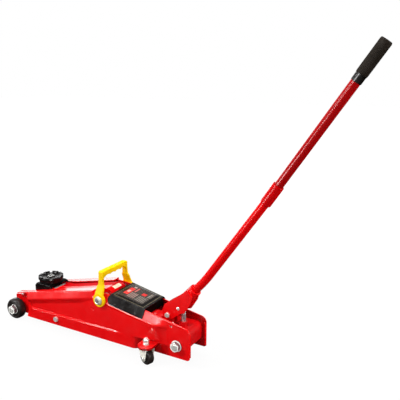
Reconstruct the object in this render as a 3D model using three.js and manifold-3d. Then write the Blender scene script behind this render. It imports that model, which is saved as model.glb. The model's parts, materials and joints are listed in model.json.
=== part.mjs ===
// Low hydraulic trolley jack with its two-piece handle, at real size in millimetres.
// X runs back along the jack from the front axle to the handle, Y points to the right
// of someone who stands at the handle, Z is up, and the floor is Z = 0.
import * as THREE from "three";
import { mergeVertices } from "three/addons/utils/BufferGeometryUtils.js";
import Module from "manifold-3d";

const wasm = await Module();
wasm.setup();

// ---------- driving dimensions ----------
const gap = 0.3; // clearance between neighbours that touch or turn in each other

// Front wheels and axle
const wheelRadius = 28.5;
const wheelWidth = 23;
const wheelStandOff = 2.2;
const hubRecess = 5;
const hubRadius = 15;
const axleRadius = 7;
const axleNutAcross = 22;
const axleNutHeight = 10;
const axleWasherRadius = 13.5;

// Pressed side plates
const plate = 3; // sheet thickness
const noseY = 40; // outer face beside the front wheels
const rimY = 54; // outer face of the wide middle
const bulgeY = 57; // fold that stands out along the top
const recessY = 50; // panel pressed in below that fold
const flangeY = 52; // outer corner of the top flange
const flangeWidth = 17;
const bandY = 46; // top of the slanted band at its front
const tailY = 41; // outer face at the tail
const noseX = -14;
const noseEnd = 24; // the nose runs in under the top flange to here
const archX = 62; // where the wheel arch ends
const archRamp = 22;
const archRise = 43; // height at which the arch reaches furthest back
const peakX = 281; // where the top flange ends
const peakZ = 142;
const flangeFrontX = 12;
const flangeFrontZ = 77;
const noseTopZ = 67;
const foldDrop = 20; // fold below the top corner
const foldDepth = 12; // height of the face that looks down below the fold
const creaseZ = 44;
const creaseRearX = 400;
const creaseRearZ = 53;
const frontBottomZ = 13;
const tailBottomZ = 22;
const bendFrontZ = 122; // outer bend of the slanted band behind the peak
const bendTailZ = 93;
const shoulderZ = 139.5; // upper edge behind the peak, over the shaft
const shoulderRearZ = 138;
const coverShoulderZ = 129.2; // upper edge where the cover begins
const coverEdgeZ = 120; // upper edge where the cover ends
const tailTopZ = 101;
const tailX = 556;
const pocketX = 402; // the pocket over the caster starts here
const pocketRamp = 26;
const waistX = 436; // the upper part starts to narrow here
const waistLength = 46;
const tailLip = 8; // edge folded in at the tail

// Cross members and bolts of the frame
const tieX = 152;
const tieZ = 33;
const tieRadius = 4;
const tieTubeRadius = 7.5;
const tieHeadRadius = 7.5;
const spacerRadius = 10; // tube round the axle between the plates

// Lift arm and its shaft
const shaftX = 306;
const shaftZ = 124;
const shaftRadius = 9;
const shaftEndRadius = 6;
const tipX = 110; // saddle bracket pin
const tipZ = 92;
const armHalfWidth = 28;
const armSheet = 4;
const armRootRadius = 19.5;
const armTipRadius = 10;
const armKneeX = 143; // the top edge runs level from the tip to here, then climbs
const armKneeZ = 103;
const leverLength = 52;
const leverLag = 33; // degrees behind straight down at rest
const liftTurn = 66; // degrees the arm swings up
const leverEndRadius = 13;
const leverPinRadius = 6.5;
const tipPinRadius = 6;
const webFrontX = 124; // the arm's top sheet starts here

// Levelling link
const linkDropX = -10; // link pins lie this far from the shaft and from the tip pin
const linkDropZ = -23;
const linkEyeRadius = 8;
const linkThickness = 10;
const linkPinRadius = 4;
const lugThickness = 6;
const lugHubRadius = 12;

// Saddle and its bracket
const bracketSheet = 3.5;
const bracketFrontX = 56;
const bracketRearX = 122;
const bracketTopZ = 110;
const bracketFootZ = 60;
const saddleX = 84;
const saddleRadius = 33.3;
const saddleBodyRadius = 30.6;
const saddleBodyHeight = 6;
const saddleRimHeight = 5;
const toothHeight = 5;
const toothCount = 8;
const toothGap = 6;
const saddleStemRadius = 9;
const clipThickness = 1.6;

// Power unit
const ramZ = 76;
const ramRadius = 11;
const ramRearX = 432;
const tankRadius = 28;
const blockFrontX = 446;
const blockRearX = 547;
const blockHalfWidth = 37.5;
const blockBottomZ = 42;
const blockDeckZ = 87;
const blockShoulderZ = 104;
const blockShoulderX = 466;
const blockRearRound = 15;
const blockFootRound = 9;
const glandRadius = 22;
const glandLength = 8;
const glandClear = 1; // yoke to gland at rest
const yokeInnerY = 14.5;
const yokeOuterY = 20;
const yokeBackGap = 15.5; // from the lever pin to the yoke's back plate
const yokeBack = 5;
const springY = 35;
const springBarZ = 66;
const springBarHeight = 8;
const springRadius = 4.5;
const springWire = 1.6;
const frameBoltX = 522;
const frameBoltZ = 53;
const frameBoltRadius = 8;
const frameWasherRadius = 14.5;
const frameNutAcross = 24;
const frameNutHeight = 9;

// Pump
const plungerX = 515.5;
const plungerRadius = 5.5;
const plungerTopZ = 122.6;
const plungerFootZ = 88;
const barrelRadius = 10;
const barrelTopZ = 97;
const pumpStroke = 23.5;
const reliefX = 502;
const reliefY = -27;
const reliefRadius = 3;
const reliefHeight = 14;

// Handle socket
const socketX = 482;
const socketZ = 112;
const handleAngle = 47.2; // degrees above level, as the socket rests
const cheekInnerY = 14.3;
const cheekSheet = 4;
const stubRadius = 5;
const earRadius = 10;
const earOuterY = 13.4;
const earInnerY = 8;
const sleeveStart = 52; // along the handle from the socket's pivot
const sleeveEnd = 98;
const sleeveRadius = 14.5;
const socketReach = 90; // along the handle, from the pivot to the cheeks' far corner
const socketDepth = 23.5; // square to the handle, from its axis to the cheeks' widest point
const padRadius = 4;
const padAlong = 34.8; // pad over the plunger, along the handle and below its axis
const padBelow = 15.5;
const windowAlong = 36.2;
const windowBelow = 6;
const windowRadius = 4.5;

// Release valve
const valveAngle = 27;
const valveRadius = 4.5;
const valveStart = 30;
const valveEnd = 9;
const jointRadius = 6.5;

// Handle
const tubeRadius = 9.8;
const tubeWall = 2;
const tubeStart = 58;
const bendStart = 112;
const bendLength = 42;
const bentAngle = 55.1; // the lower tube above its bend
const upperAngle = 56.2; // the upper tube, which leans back in its coupler
const lowerTubeLength = 403; // from the socket's pivot to the lower tube's end
const upperTubeRadius = 9.8;
const upperTubeLength = 352;
const upperTubeEntry = 20;
const couplerRadius = 12.4;
const couplerLength = 49;
const couplerLap = 24;
const buttonRadius = 3.2;
const buttonRise = 2.2;
const gripRadius = 12;
const gripCollarRadius = 10.9;
const gripLength = 86;
const gripCollar = 16;
const gripEndWall = 5;

// Casters
const casterX = 452;
const casterY = 65;
const casterTurn = -16; // degrees the near caster stands off straight
const casterWheelRadius = 18;
const casterWheelWidth = 17;
const casterTrail = 3.5;
const casterPinRadius = 3;
const casterSheet = 2.4;
const casterTopGap = 3.4;
const casterHalf = 13.3; // half width of the yoke
const casterEyeRadius = 7;
const stemRadius = 4;
const earPlateRadius = 20;
const earPlate = 4;
const earRim = 2.4;
const raceRadius = 9;
const raceHeight = 1.8;
const stemNutAcross = 15;
const stemNutHeight = 6.5;
const domeHeight = 6;
const domeRadius = 8;
const stemTail = 4;

// Carry handle
const bailFootRadius = 15.5;
const bailThickness = 6;
const bailRise = 72; // shaft to the top of the grip
const bailGripHeight = 15;
const bailGripDepth = 15;
const bailTopY = 50; // outer face of the legs at the grip
const bailWaistHalf = 7.5;
const bailShankHalf = 12.5;
const fingerCount = 4;
const fingerDepth = 2.6;
const bailNutAcross = 16;
const bailNutHeight = 5;

// Cover
const cover = 2; // sheet thickness
const coverFrontX = 333;
const coverRearX = 433;
const coverFrontZ = 141;
const coverRearZ = 124.5;
const flapFrontX = 327;
const coverWallHalf = 36.5; // wall folded down at the cover's rear
const flapFoot = 3; // flap ends this far above the outer bend
const screwX = [350, 411];
const screwRadius = 3.6;
const screwHeight = 1.8;
const screwShank = 1.7;

// ---------- small helpers ----------
const degrees = Math.PI / 180;
const sides = [["left", -1], ["right", 1]];
const mix = (a, b, t) => a + (b - a) * t;
const ease = (t) => {
  const u = Math.min(Math.max(t, 0), 1);
  return u * u * (3 - 2 * u);
};

// Value at x on the straight lines through the points [x, value]
function along(points, x) {
  const last = points.length - 1;
  if (x <= points[0][0]) return points[0][1];
  for (let i = 0; i < last; i += 1) {
    const [x0, v0] = points[i];
    const [x1, v1] = points[i + 1];
    if (x <= x1) return mix(v0, v1, (x - x0) / (x1 - x0));
  }
  return points[last][1];
}

// Closed geometry to a solid that can be cut and joined
function solid(geometry) {
  const bare = geometry.index ? geometry.toNonIndexed() : geometry.clone();
  bare.deleteAttribute("normal");
  bare.deleteAttribute("uv");
  const merged = mergeVertices(bare, 1e-4);
  const vertProperties = new Float32Array(merged.attributes.position.array);
  const triVerts = new Uint32Array(merged.index.array);
  return new wasm.Manifold(new wasm.Mesh({ numProp: 3, vertProperties, triVerts }));
}

function geometryOf(body) {
  const mesh = body.getMesh();
  const geometry = new THREE.BufferGeometry();
  geometry.setAttribute("position", new THREE.BufferAttribute(new Float32Array(mesh.vertProperties), 3));
  geometry.setIndex(new THREE.BufferAttribute(new Uint32Array(mesh.triVerts), 1));
  return geometry;
}

const join = (...bodies) => bodies.reduce((a, b) => a.add(b));
const cut = (body, ...tools) => tools.reduce((a, b) => a.subtract(b), body);

// Side-view outline in X and Z, carried across from y0 to y1
function across(shape, y0, y1, curveSegments = 7) {
  const depth = Math.abs(y1 - y0);
  const geometry = new THREE.ExtrudeGeometry(shape, { depth, bevelEnabled: false, curveSegments });
  geometry.rotateX(Math.PI / 2);
  geometry.translate(0, Math.max(y0, y1), 0);
  return solid(geometry);
}

// Outline seen from above in X and Y, raised from z0 to z1
function upright(shape, z0, z1, curveSegments = 8) {
  const geometry = new THREE.ExtrudeGeometry(shape, { depth: z1 - z0, bevelEnabled: false, curveSegments });
  geometry.translate(0, 0, z0);
  return solid(geometry);
}

const outline = (points) => new THREE.Shape(points.map(([u, v]) => new THREE.Vector2(u, v)));

function box(x0, x1, y0, y1, z0, z1) {
  const geometry = new THREE.BoxGeometry(x1 - x0, y1 - y0, z1 - z0);
  geometry.translate((x0 + x1) / 2, (y0 + y1) / 2, (z0 + z1) / 2);
  return solid(geometry);
}

// Round bar across the jack, or a prism with few sides
function barY(x, z, radius, y0, y1, segments = 20, turn = 0) {
  const geometry = new THREE.CylinderGeometry(radius, radius, Math.abs(y1 - y0), segments);
  geometry.rotateY(turn);
  geometry.translate(x, (y0 + y1) / 2, z);
  return solid(geometry);
}

function barZ(x, y, radius, z0, z1, segments = 20, turn = 0) {
  const geometry = new THREE.CylinderGeometry(radius, radius, z1 - z0, segments);
  geometry.rotateX(Math.PI / 2);
  geometry.rotateZ(turn);
  geometry.translate(x, y, (z0 + z1) / 2);
  return solid(geometry);
}

function barX(y, z, radius, x0, x1, segments = 20, turn = 0) {
  const geometry = new THREE.CylinderGeometry(radius, radius, x1 - x0, segments);
  geometry.rotateZ(Math.PI / 2);
  geometry.rotateX(turn);
  geometry.translate((x0 + x1) / 2, y, z);
  return solid(geometry);
}

// Profile [radius, height] turned about Z
function turned(profile, segments = 24) {
  return solid(new THREE.LatheGeometry(profile.map(([r, h]) => new THREE.Vector2(r, h)), segments)
    .rotateX(Math.PI / 2));
}

const hexRadius = (acrossFlats) => acrossFlats / Math.sqrt(3);

// Hull of two circles in the side view: an arm that tapers between two eyes
function tapered(ax, az, ra, bx, bz, rb) {
  const length = Math.hypot(bx - ax, bz - az);
  const heading = Math.atan2(bz - az, bx - ax);
  const lean = Math.acos((ra - rb) / length);
  const shape = new THREE.Shape();
  shape.absarc(ax, az, ra, heading + lean, heading - lean + 2 * Math.PI, false);
  shape.absarc(bx, bz, rb, heading - lean, heading + lean, false);
  return shape;
}

// Closed rings of equal length joined into a skin, with flat ends
function loft(rings, flat) {
  const count = rings[0].length;
  const positions = rings.flat(2);
  const index = [];
  for (let r = 0; r < rings.length - 1; r += 1) {
    for (let i = 0; i < count; i += 1) {
      const a = r * count + i;
      const b = r * count + (i + 1) % count;
      index.push(a, b, b + count, a, b + count, a + count);
    }
  }
  const last = (rings.length - 1) * count;
  const cap = (ring) => {
    const line = ring.map(flat);
    const faces = THREE.ShapeUtils.triangulateShape(line, []);
    return THREE.ShapeUtils.area(line) < 0 ? faces.map(([i, j, k]) => [k, j, i]) : faces;
  };
  for (const [a, b, c] of cap(rings[0])) index.push(a, c, b);
  for (const [a, b, c] of cap(rings[rings.length - 1])) index.push(last + a, last + b, last + c);
  let volume = 0;
  const point = (i) => new THREE.Vector3().fromArray(positions, 3 * i);
  for (let i = 0; i < index.length; i += 3) {
    volume += point(index[i]).dot(point(index[i + 1]).cross(point(index[i + 2])));
  }
  if (volume < 0) index.reverse();
  const geometry = new THREE.BufferGeometry();
  geometry.setAttribute("position", new THREE.Float32BufferAttribute(positions, 3));
  geometry.setIndex(index);
  return solid(geometry);
}

// A sheet's section: the outer line and the same line moved inwards by the thickness
function sheetSection(line, thickness) {
  const inner = line.map(([y, z], i) => {
    const [py, pz] = line[Math.max(i - 1, 0)];
    const [ny, nz] = line[Math.min(i + 1, line.length - 1)];
    const before = i > 0 ? unitNormal(py, pz, y, z) : unitNormal(y, z, ny, nz);
    const after = i < line.length - 1 ? unitNormal(y, z, ny, nz) : before;
    const share = 1 + before[0] * after[0] + before[1] * after[1];
    const scale = thickness / share;
    return [y + (before[0] + after[0]) * scale, z + (before[1] + after[1]) * scale];
  });
  return [...line, ...inner.reverse()];
}

function unitNormal(y0, z0, y1, z1) {
  const length = Math.hypot(y1 - y0, z1 - z0);
  return [(z1 - z0) / length, (y0 - y1) / length];
}

const mirrored = (body) => body.mirror([0, 1, 0]);

// ---------- lines of the side plates ----------
const axleZ = wheelRadius;
const topSlope = (peakZ - flangeFrontZ) / (peakX - flangeFrontX);
const topLine = (x) => flangeFrontZ + (x - flangeFrontX) * topSlope;
const rearEdge = [[peakX, shoulderZ], [flapFrontX, shoulderRearZ], [coverFrontX, coverShoulderZ],
  [coverRearX, coverEdgeZ], [tailX - 10, tailTopZ], [tailX, tailTopZ - 9]];
const bendLine = [[peakX, bendFrontZ], [tailX, bendTailZ - 9]];
const bandTopY = [[peakX, bandY], [coverRearX, tailY]];
const bottomLine = [[noseX, frontBottomZ + 12], [noseX + 12, frontBottomZ], [tailX - 4, tailBottomZ],
  [tailX, tailBottomZ + 3]];
const creaseLine = [[archX, creaseZ], [creaseRearX, creaseRearZ]];
const casterTop = 2 * casterWheelRadius + casterTopGap;
const yokeTop = casterTop + casterSheet;
const earFoot = yokeTop + 2 * gap + raceHeight;
const earTop = earFoot + earPlate;
const shelfDrop = 3;
const shelfZ = earTop + 2 * gap + shelfDrop;

// How far a point at height z has moved out of the nose and into the wide middle
function outOfArch(x, z) {
  const end = archX - ((z - archRise) / 35) ** 2 * (z < archRise ? 20 : 32);
  return ease((x - end + archRamp) / archRamp);
}

// How far a point has moved in towards the tail
function intoTail(x, z) {
  const low = z < shelfZ;
  const start = low ? pocketX : waistX;
  const length = low ? pocketRamp : waistLength + Math.max(z - creaseRearZ, 0) * 0.45;
  return ease((x - start) / length);
}

// Outer line of a side plate's section at x, from the tip of its top edge to its foot
function plateLine(x) {
  const behindPeak = x > peakX;
  const recess = 1 - ease((x - 205) / 65);
  const crease = 1 - ease((x - creaseRearX + 60) / 60);
  const wide = (y, z) => {
    const middle = mix(noseY, y, outOfArch(x, z));
    return mix(middle, Math.min(y, tailY), intoTail(x, z));
  };
  const foot = along(bottomLine, x);
  const ledge = x < pocketX ? along(creaseLine, x) : shelfZ;
  const lower = ledge - shelfDrop;
  const topZ = behindPeak ? along(rearEdge, x) : topLine(x);
  const foldZ = behindPeak ? along(bendLine, x) : topZ - foldDrop;
  const topY = behindPeak ? along(bandTopY, x) : wide(flangeY, topZ);
  const foldY = wide(mix(rimY, bulgeY, recess), foldZ);
  const panelY = mix(rimY, recessY, recess);
  const underZ = foldZ - mix(6, foldDepth, recess);
  return [
    [behindPeak ? topY - 3.2 : flangeY - flangeWidth, topZ],
    [topY, topZ],
    [behindPeak ? Math.max(foldY, topY) : foldY, foldZ],
    [wide(panelY, underZ), underZ],
    [wide(mix(rimY, panelY, crease), ledge), ledge],
    [wide(rimY, lower), lower],
    [wide(rimY, foot), foot],
  ];
}

// Outer line of the nose beside the wheel, below the top flange
function noseLine(x) {
  const top = along([[noseX, 52], [noseX + 4, 60], [noseX + 12, noseTopZ]], x);
  const foot = along(bottomLine, x);
  const y = (z) => mix(noseY, rimY, outOfArch(x, z));
  return [0, 0.25, 0.5, 0.75, 1].map((t) => [y(mix(top, foot, t)), mix(top, foot, t)]);
}

function platePress(stations, line) {
  const rings = stations.map((x) => sheetSection(line(x), plate).map(([y, z]) => [x, y, z]));
  return loft(rings, ([, y, z]) => new THREE.Vector2(y, z));
}

function sidePlate() {
  const between = (a, b, shares) => shares.map((t) => mix(a, b, t));
  const front = [...between(noseEnd, archX + 4, [0, 0.17, 0.33, 0.5, 0.67, 0.83, 1]),
    ...between(archX, peakX, [0.31, 0.65, 0.73, 0.81, 0.88, 0.96, 1])];
  const rear = [peakX + 0.6, flapFrontX, coverFrontX, mix(coverFrontX, pocketX, 0.5), pocketX - 0.6, pocketX + 6,
    ...between(pocketX, waistX, [0.38, 0.76, 1]),
    ...between(waistX, tailX, [0.09, 0.19, 0.29, 0.4, 0.52, 0.66]), tailX - 10, tailX - 4, tailX];
  const nose = [...between(noseX, noseEnd, [0, 0.08, 0.18, 0.32, 0.58, 0.79]), noseEnd + 1];
  const body = platePress([...front, ...rear], plateLine);
  const tongue = across(outline([[flangeFrontX, flangeFrontZ], [noseEnd + 1, topLine(noseEnd + 1)],
    [noseEnd + 1, topLine(noseEnd + 1) - plate], [flangeFrontX, flangeFrontZ - plate]]), flangeY - flangeWidth, flangeY - 0.6);
  const lipX0 = tailX - plate;
  const lip = box(lipX0, tailX, tailY - tailLip, tailY - plate + 0.5, tailBottomZ + 6, tailTopZ - 14);
  const holes = [
    barY(0, axleZ, axleRadius + gap, 0, 80),
    barY(tieX, tieZ, tieRadius + gap, 0, 80, 16),
    barY(shaftX, shaftZ, shaftEndRadius + gap, 0, 80, 20),
    barY(frameBoltX, frameBoltZ, frameBoltRadius + gap, 0, 80, 20),
    barY(tailX - 48, tailTopZ - 5, 2.6, 0, 80, 12),
  ];
  for (const x of screwX) holes.push(screwBar(x, screwShank + gap, -12, 5));
  return cut(join(body, platePress(nose, noseLine), tongue, lip, casterEar()), ...holes);
}

// Ear over the caster: a half-round plate with a rim, welded to the tail
function casterEar() {
  const shape = new THREE.Shape();
  const inner = tailY - 1;
  shape.moveTo(casterX - earPlateRadius, inner);
  shape.lineTo(casterX + earPlateRadius, inner);
  shape.absarc(casterX, casterY, earPlateRadius, 0, Math.PI, false);
  const rimFoot = yokeTop + gap;
  const room = new THREE.Shape();
  const reach = earPlateRadius - earRim;
  room.moveTo(casterX - reach, tailY);
  room.lineTo(casterX + reach, tailY);
  room.absarc(casterX, casterY, reach, 0, Math.PI, false);
  const slots = [-24, 24].map((turn) => box(-4, 4, earPlateRadius - 5, earPlateRadius + 3, -1.6, 1.6)
    .rotate([0, 0, turn]).translate([casterX, casterY, earFoot + 0.2]));
  return cut(upright(shape, rimFoot, earTop, 10), upright(room, rimFoot - 1, earFoot, 10), ...slots,
    barZ(casterX, casterY, stemRadius + gap, 0, 90, 16));
}

// ---------- lines of the cover ----------
const coverTop = (x) => mix(coverFrontZ, coverRearZ, (x - coverFrontX) / (coverRearX - coverFrontX));
const coverHalf = (x) => along(bandTopY, x) + 0.3;

// Corner and foot of the cover's right flap at x, on its outer face
function flapEnds(x) {
  const foot = along(bendLine, x) + flapFoot;
  const topY = along(bandTopY, x);
  const fall = (along(rearEdge, x) - foot) / (along(rearEdge, x) - along(bendLine, x));
  return [[coverHalf(x), coverTop(x)], [mix(topY, rimY, fall) + cover * 1.25 + 2 * gap, foot]];
}

// Round bar that stands square on a flap, measured outwards from the flap's face
function screwBar(x, radius, from, to, segments = 14) {
  const [[y0, z0], [y1, z1]] = flapEnds(x);
  const share = 0.8;
  const lean = Math.atan2(z0 - z1, y1 - y0) / degrees;
  return barZ(0, 0, radius, from, to, segments).rotate([-lean, 0, 0])
    .translate([x, mix(y0, y1, share), mix(z0, z1, share)]);
}

// ---------- the model ----------
const jack = new THREE.Group();
const finishes = {
  redPaint: new THREE.MeshStandardMaterial({ color: 0xd8121a, roughness: 0.35, metalness: 0.1 }),
  blackPaint: new THREE.MeshStandardMaterial({ color: 0x1a1818, roughness: 0.45, metalness: 0.1 }),
  blackCast: new THREE.MeshStandardMaterial({ color: 0x1c1a1a, roughness: 0.6, metalness: 0.3 }),
  zinc: new THREE.MeshStandardMaterial({ color: 0xd8d8d0, roughness: 0.35, metalness: 0.9 }),
  steel: new THREE.MeshStandardMaterial({ color: 0xb8b8b4, roughness: 0.3, metalness: 1 }),
  blackPlastic: new THREE.MeshStandardMaterial({ color: 0x2a2625, roughness: 0.55, metalness: 0 }),
  rubber: new THREE.MeshStandardMaterial({ color: 0x2c2725, roughness: 0.8, metalness: 0 }),
  yellow: new THREE.MeshStandardMaterial({ color: 0xf6dc08, roughness: 0.45, metalness: 0 }),
};

function add(name, body, finish) {
  const mesh = new THREE.Mesh(geometryOf(body), finishes[finish]);
  mesh.name = name;
  jack.add(mesh);
}

const leftOf = (body) => mirrored(body);
const placed = (side, body) => (side < 0 ? leftOf(body) : body);
const bothSides = (body) => body.add(leftOf(body));

// Frame
const plateRight = sidePlate();
for (const [name, side] of sides) add(`side_plate_${name}`, placed(side, plateRight), "redPaint");

const spacerHalf = noseY - plate - gap;
add("axle_spacer", cut(barY(0, axleZ, spacerRadius, -spacerHalf, spacerHalf),
  barY(0, axleZ, axleRadius + gap, -60, 60)), "redPaint");

const tieInner = rimY - plate - gap;
add("tie_tube", cut(barY(tieX, tieZ, tieTubeRadius, -tieInner, tieInner),
  barY(tieX, tieZ, tieRadius + gap, -60, 60, 16)), "redPaint");
function tieBolt() {
  const seat = rimY + gap;
  return join(barY(tieX, tieZ, tieRadius, -seat - 1, seat + 6, 16),
    barY(tieX, tieZ, tieHeadRadius, -seat - 5, -seat, 6, 0.3));
}
add("tie_bolt", tieBolt(), "zinc");
add("tie_nut", cut(barY(tieX, tieZ, tieHeadRadius, rimY + gap, rimY + gap + 5, 6, 0.3),
  barY(tieX, tieZ, tieRadius + gap, 50, 80, 16)), "zinc");

// Front axle and wheels
const wheelInner = noseY + wheelStandOff + 2 * gap;
const wheelOuter = wheelInner + wheelWidth;
const hubFloor = wheelOuter - hubRecess;
const washer = 2;
const axleEnd = hubFloor + gap + washer + axleNutHeight + 2;
// Nut with its washer, across the jack, from its seat outwards
function flangeNut(x, z, bore, seat, washerRadius, acrossFlats, height, turn) {
  const disc = barY(x, z, washerRadius, seat, seat + washer, 24);
  const nut = barY(x, z, hexRadius(acrossFlats), seat + washer - 0.5, seat + washer + height, 6, turn);
  return cut(join(disc, nut), barY(x, z, bore + gap, 0, 100));
}
function frontAxle() {
  const rod = barY(0, axleZ, axleRadius, -axleEnd, axleEnd);
  const collars = sides.map(([, side]) => barY(0, axleZ, axleRadius + 4,
    side * (noseY + gap), side * (wheelInner - gap), 20));
  return join(rod, ...collars);
}
add("front_axle", frontAxle(), "steel");

// Lathe profile of a wheel: bore, inner face, rounded tread, outer face with its hub recess
function frontWheel() {
  const bore = axleRadius + gap;
  const corner = 3;
  const profile = [[bore, 0], [wheelRadius - corner, 0], [wheelRadius, corner],
    [wheelRadius, wheelWidth - corner], [wheelRadius - corner, wheelWidth],
    [hubRadius + 1.5, wheelWidth], [hubRadius, wheelWidth - hubRecess], [bore, wheelWidth - hubRecess],
    [bore, 0]];
  return turned(profile, 30).rotate([-90, 0, 0]).translate([0, wheelInner, axleZ]);
}
const wheelRight = frontWheel();
const nutRight = flangeNut(0, axleZ, axleRadius, hubFloor + gap, axleWasherRadius, axleNutAcross,
  axleNutHeight, 0.25);
for (const [name, side] of sides) {
  add(`front_wheel_${name}`, placed(side, wheelRight), "blackPlastic");
  add(`axle_nut_${name}`, placed(side, nutRight), "zinc");
}

// Lift arm: two cheeks joined by a top sheet, with a lever that points down at the back
const leverPinX = shaftX + leverLength * Math.sin(leverLag * degrees);
const leverPinZ = shaftZ - leverLength * Math.cos(leverLag * degrees);
function beamOutline(inset) {
  const shape = new THREE.Shape();
  shape.moveTo(armKneeX, armKneeZ - inset);
  shape.lineTo(tipX, tipZ + armTipRadius - inset);
  shape.absarc(tipX, tipZ, armTipRadius - inset, Math.PI / 2, 1.5 * Math.PI, false);
  shape.absarc(shaftX, shaftZ, armRootRadius - inset, -Math.PI / 2, Math.PI / 2, false);
  return shape;
}
function liftArm() {
  const lever = tapered(shaftX, shaftZ, armRootRadius, leverPinX, leverPinZ, leverEndRadius);
  const whole = across(beamOutline(0), -armHalfWidth, armHalfWidth, 9);
  const clear = armHalfWidth - armSheet;
  const hollow = across(beamOutline(armSheet), -clear, clear, 9);
  const below = outline([[tipX - 40, tipZ - 60], [shaftX + 60, shaftZ - 60], [shaftX + 60, shaftZ + 6],
    [shaftX, shaftZ + 2], [armKneeX, armKneeZ - armSheet - 2], [webFrontX, armKneeZ - armSheet - 4],
    [webFrontX, tipZ + 40], [tipX - 40, tipZ + 40]]);
  const cheeks = sides.map(([, side]) => across(lever, side * clear, side * armHalfWidth));
  const holes = [
    barY(shaftX, shaftZ, shaftRadius + gap, -60, 60),
    barY(tipX, tipZ, tipPinRadius + gap, -60, 60, 20),
    barY(leverPinX, leverPinZ, leverPinRadius + gap, -60, 60, 20),
  ];
  return cut(join(cut(whole, hollow, across(below, -clear, clear)), ...cheeks), ...holes);
}
add("lift_arm", liftArm(), "redPaint");

const shaftShoulder = along(bandTopY, shaftX) - 1.4 * plate;
const bailFaceY = rimY + gap;
const shaftEndY = bailFaceY + bailThickness + gap + bailNutHeight + 1;
add("pivot_shaft", join(barY(shaftX, shaftZ, shaftRadius, -shaftShoulder, shaftShoulder),
  barY(shaftX, shaftZ, shaftEndRadius, -shaftEndY, shaftEndY, 20)), "steel");
const pinHalf = armHalfWidth + bracketSheet + 2 * gap + 0.4;
add("bracket_pin", barY(tipX, tipZ, tipPinRadius, -pinHalf, pinHalf, 20), "zinc");
add("lever_pin", barY(leverPinX, leverPinZ, leverPinRadius, -armHalfWidth - 2, armHalfWidth + 2, 20), "steel");

// Link that keeps the saddle level, and the lug on the shaft that anchors it
const anchorX = shaftX + linkDropX;
const anchorZ = shaftZ + linkDropZ;
const linkTipX = tipX + linkDropX;
const linkTipZ = tipZ + linkDropZ;
const lugInner = linkThickness / 2 + gap;
const lugOuter = lugInner + lugThickness;
function levellingLink() {
  const bar = tapered(linkTipX, linkTipZ, linkEyeRadius, anchorX, anchorZ, linkEyeRadius);
  const holes = [[linkTipX, linkTipZ], [anchorX, anchorZ]].map(([x, z]) => barY(x, z,
    linkPinRadius + gap, -20, 20, 16));
  return cut(across(bar, -linkThickness / 2, linkThickness / 2), ...holes);
}
add("levelling_link", levellingLink(), "steel");
const linkRaised = Math.atan2(shaftZ - tipZ, shaftX - tipX) - liftTurn * degrees; // its lie at full lift
function linkAnchor() {
  const lug = tapered(shaftX, shaftZ, lugHubRadius, anchorX, anchorZ, linkEyeRadius);
  const reach = 3 * linkEyeRadius;
  const spare = linkEyeRadius + gap;
  const [alongX, alongZ] = [-Math.cos(linkRaised), -Math.sin(linkRaised)];
  const sweep = outline([[anchorX + spare * alongZ, anchorZ - spare * alongX],
    [anchorX + spare * alongZ + reach * alongX, anchorZ - spare * alongX + reach * alongZ],
    [anchorX - reach, anchorZ + reach * alongZ], [anchorX - reach, anchorZ - reach],
    [anchorX, anchorZ - reach]]);
  return cut(across(lug, -lugOuter, lugOuter),
    barY(anchorX, anchorZ, spare, -lugInner, lugInner),
    across(sweep, -lugInner, lugInner),
    barY(shaftX, shaftZ, shaftRadius + gap, -60, 60),
    barY(anchorX, anchorZ, linkPinRadius + gap, -60, 60, 16));
}
add("link_anchor", linkAnchor(), "steel");
add("link_anchor_pin", barY(anchorX, anchorZ, linkPinRadius, -lugOuter, lugOuter, 16), "zinc");

// Saddle bracket: an inverted channel with a short front wall
const bracketInner = armHalfWidth + 0.6;
const bracketOuter = bracketInner + bracketSheet;
function saddleBracket() {
  const top = bracketTopZ;
  const under = top - bracketSheet;
  const side = outline([[bracketFrontX, bracketFootZ + 12], [bracketFrontX + 8, bracketFootZ + 2],
    [linkTipX - 8, bracketFootZ], [linkTipX + 7, bracketFootZ + 1], [bracketRearX - 3, tipZ - 9],
    [bracketRearX, tipZ - 2], [bracketRearX - 1, tipZ + 6], [bracketRearX - 7, under],
    [bracketRearX - 15, top], [bracketFrontX + 6, top], [bracketFrontX, top - 8]]);
  const whole = across(side, -bracketOuter, bracketOuter);
  const inside = box(bracketFrontX + bracketSheet, 200, -bracketInner, bracketInner, 0, under);
  const mouth = box(bracketFrontX - 1, bracketFrontX + bracketSheet + 1, -bracketInner + 4,
    bracketInner - 4, 0, bracketFootZ + 14);
  return cut(whole, inside, mouth,
    barY(tipX, tipZ, tipPinRadius + gap, -60, 60, 20),
    barY(linkTipX, linkTipZ, linkPinRadius + gap, -60, 60, 16),
    barZ(saddleX, 0, saddleStemRadius + gap, under - 5, top + 5));
}
add("saddle_bracket", saddleBracket(), "blackPaint");
add("link_tip_pin", barY(linkTipX, linkTipZ, linkPinRadius, -bracketOuter, bracketOuter, 16), "zinc");

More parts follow.
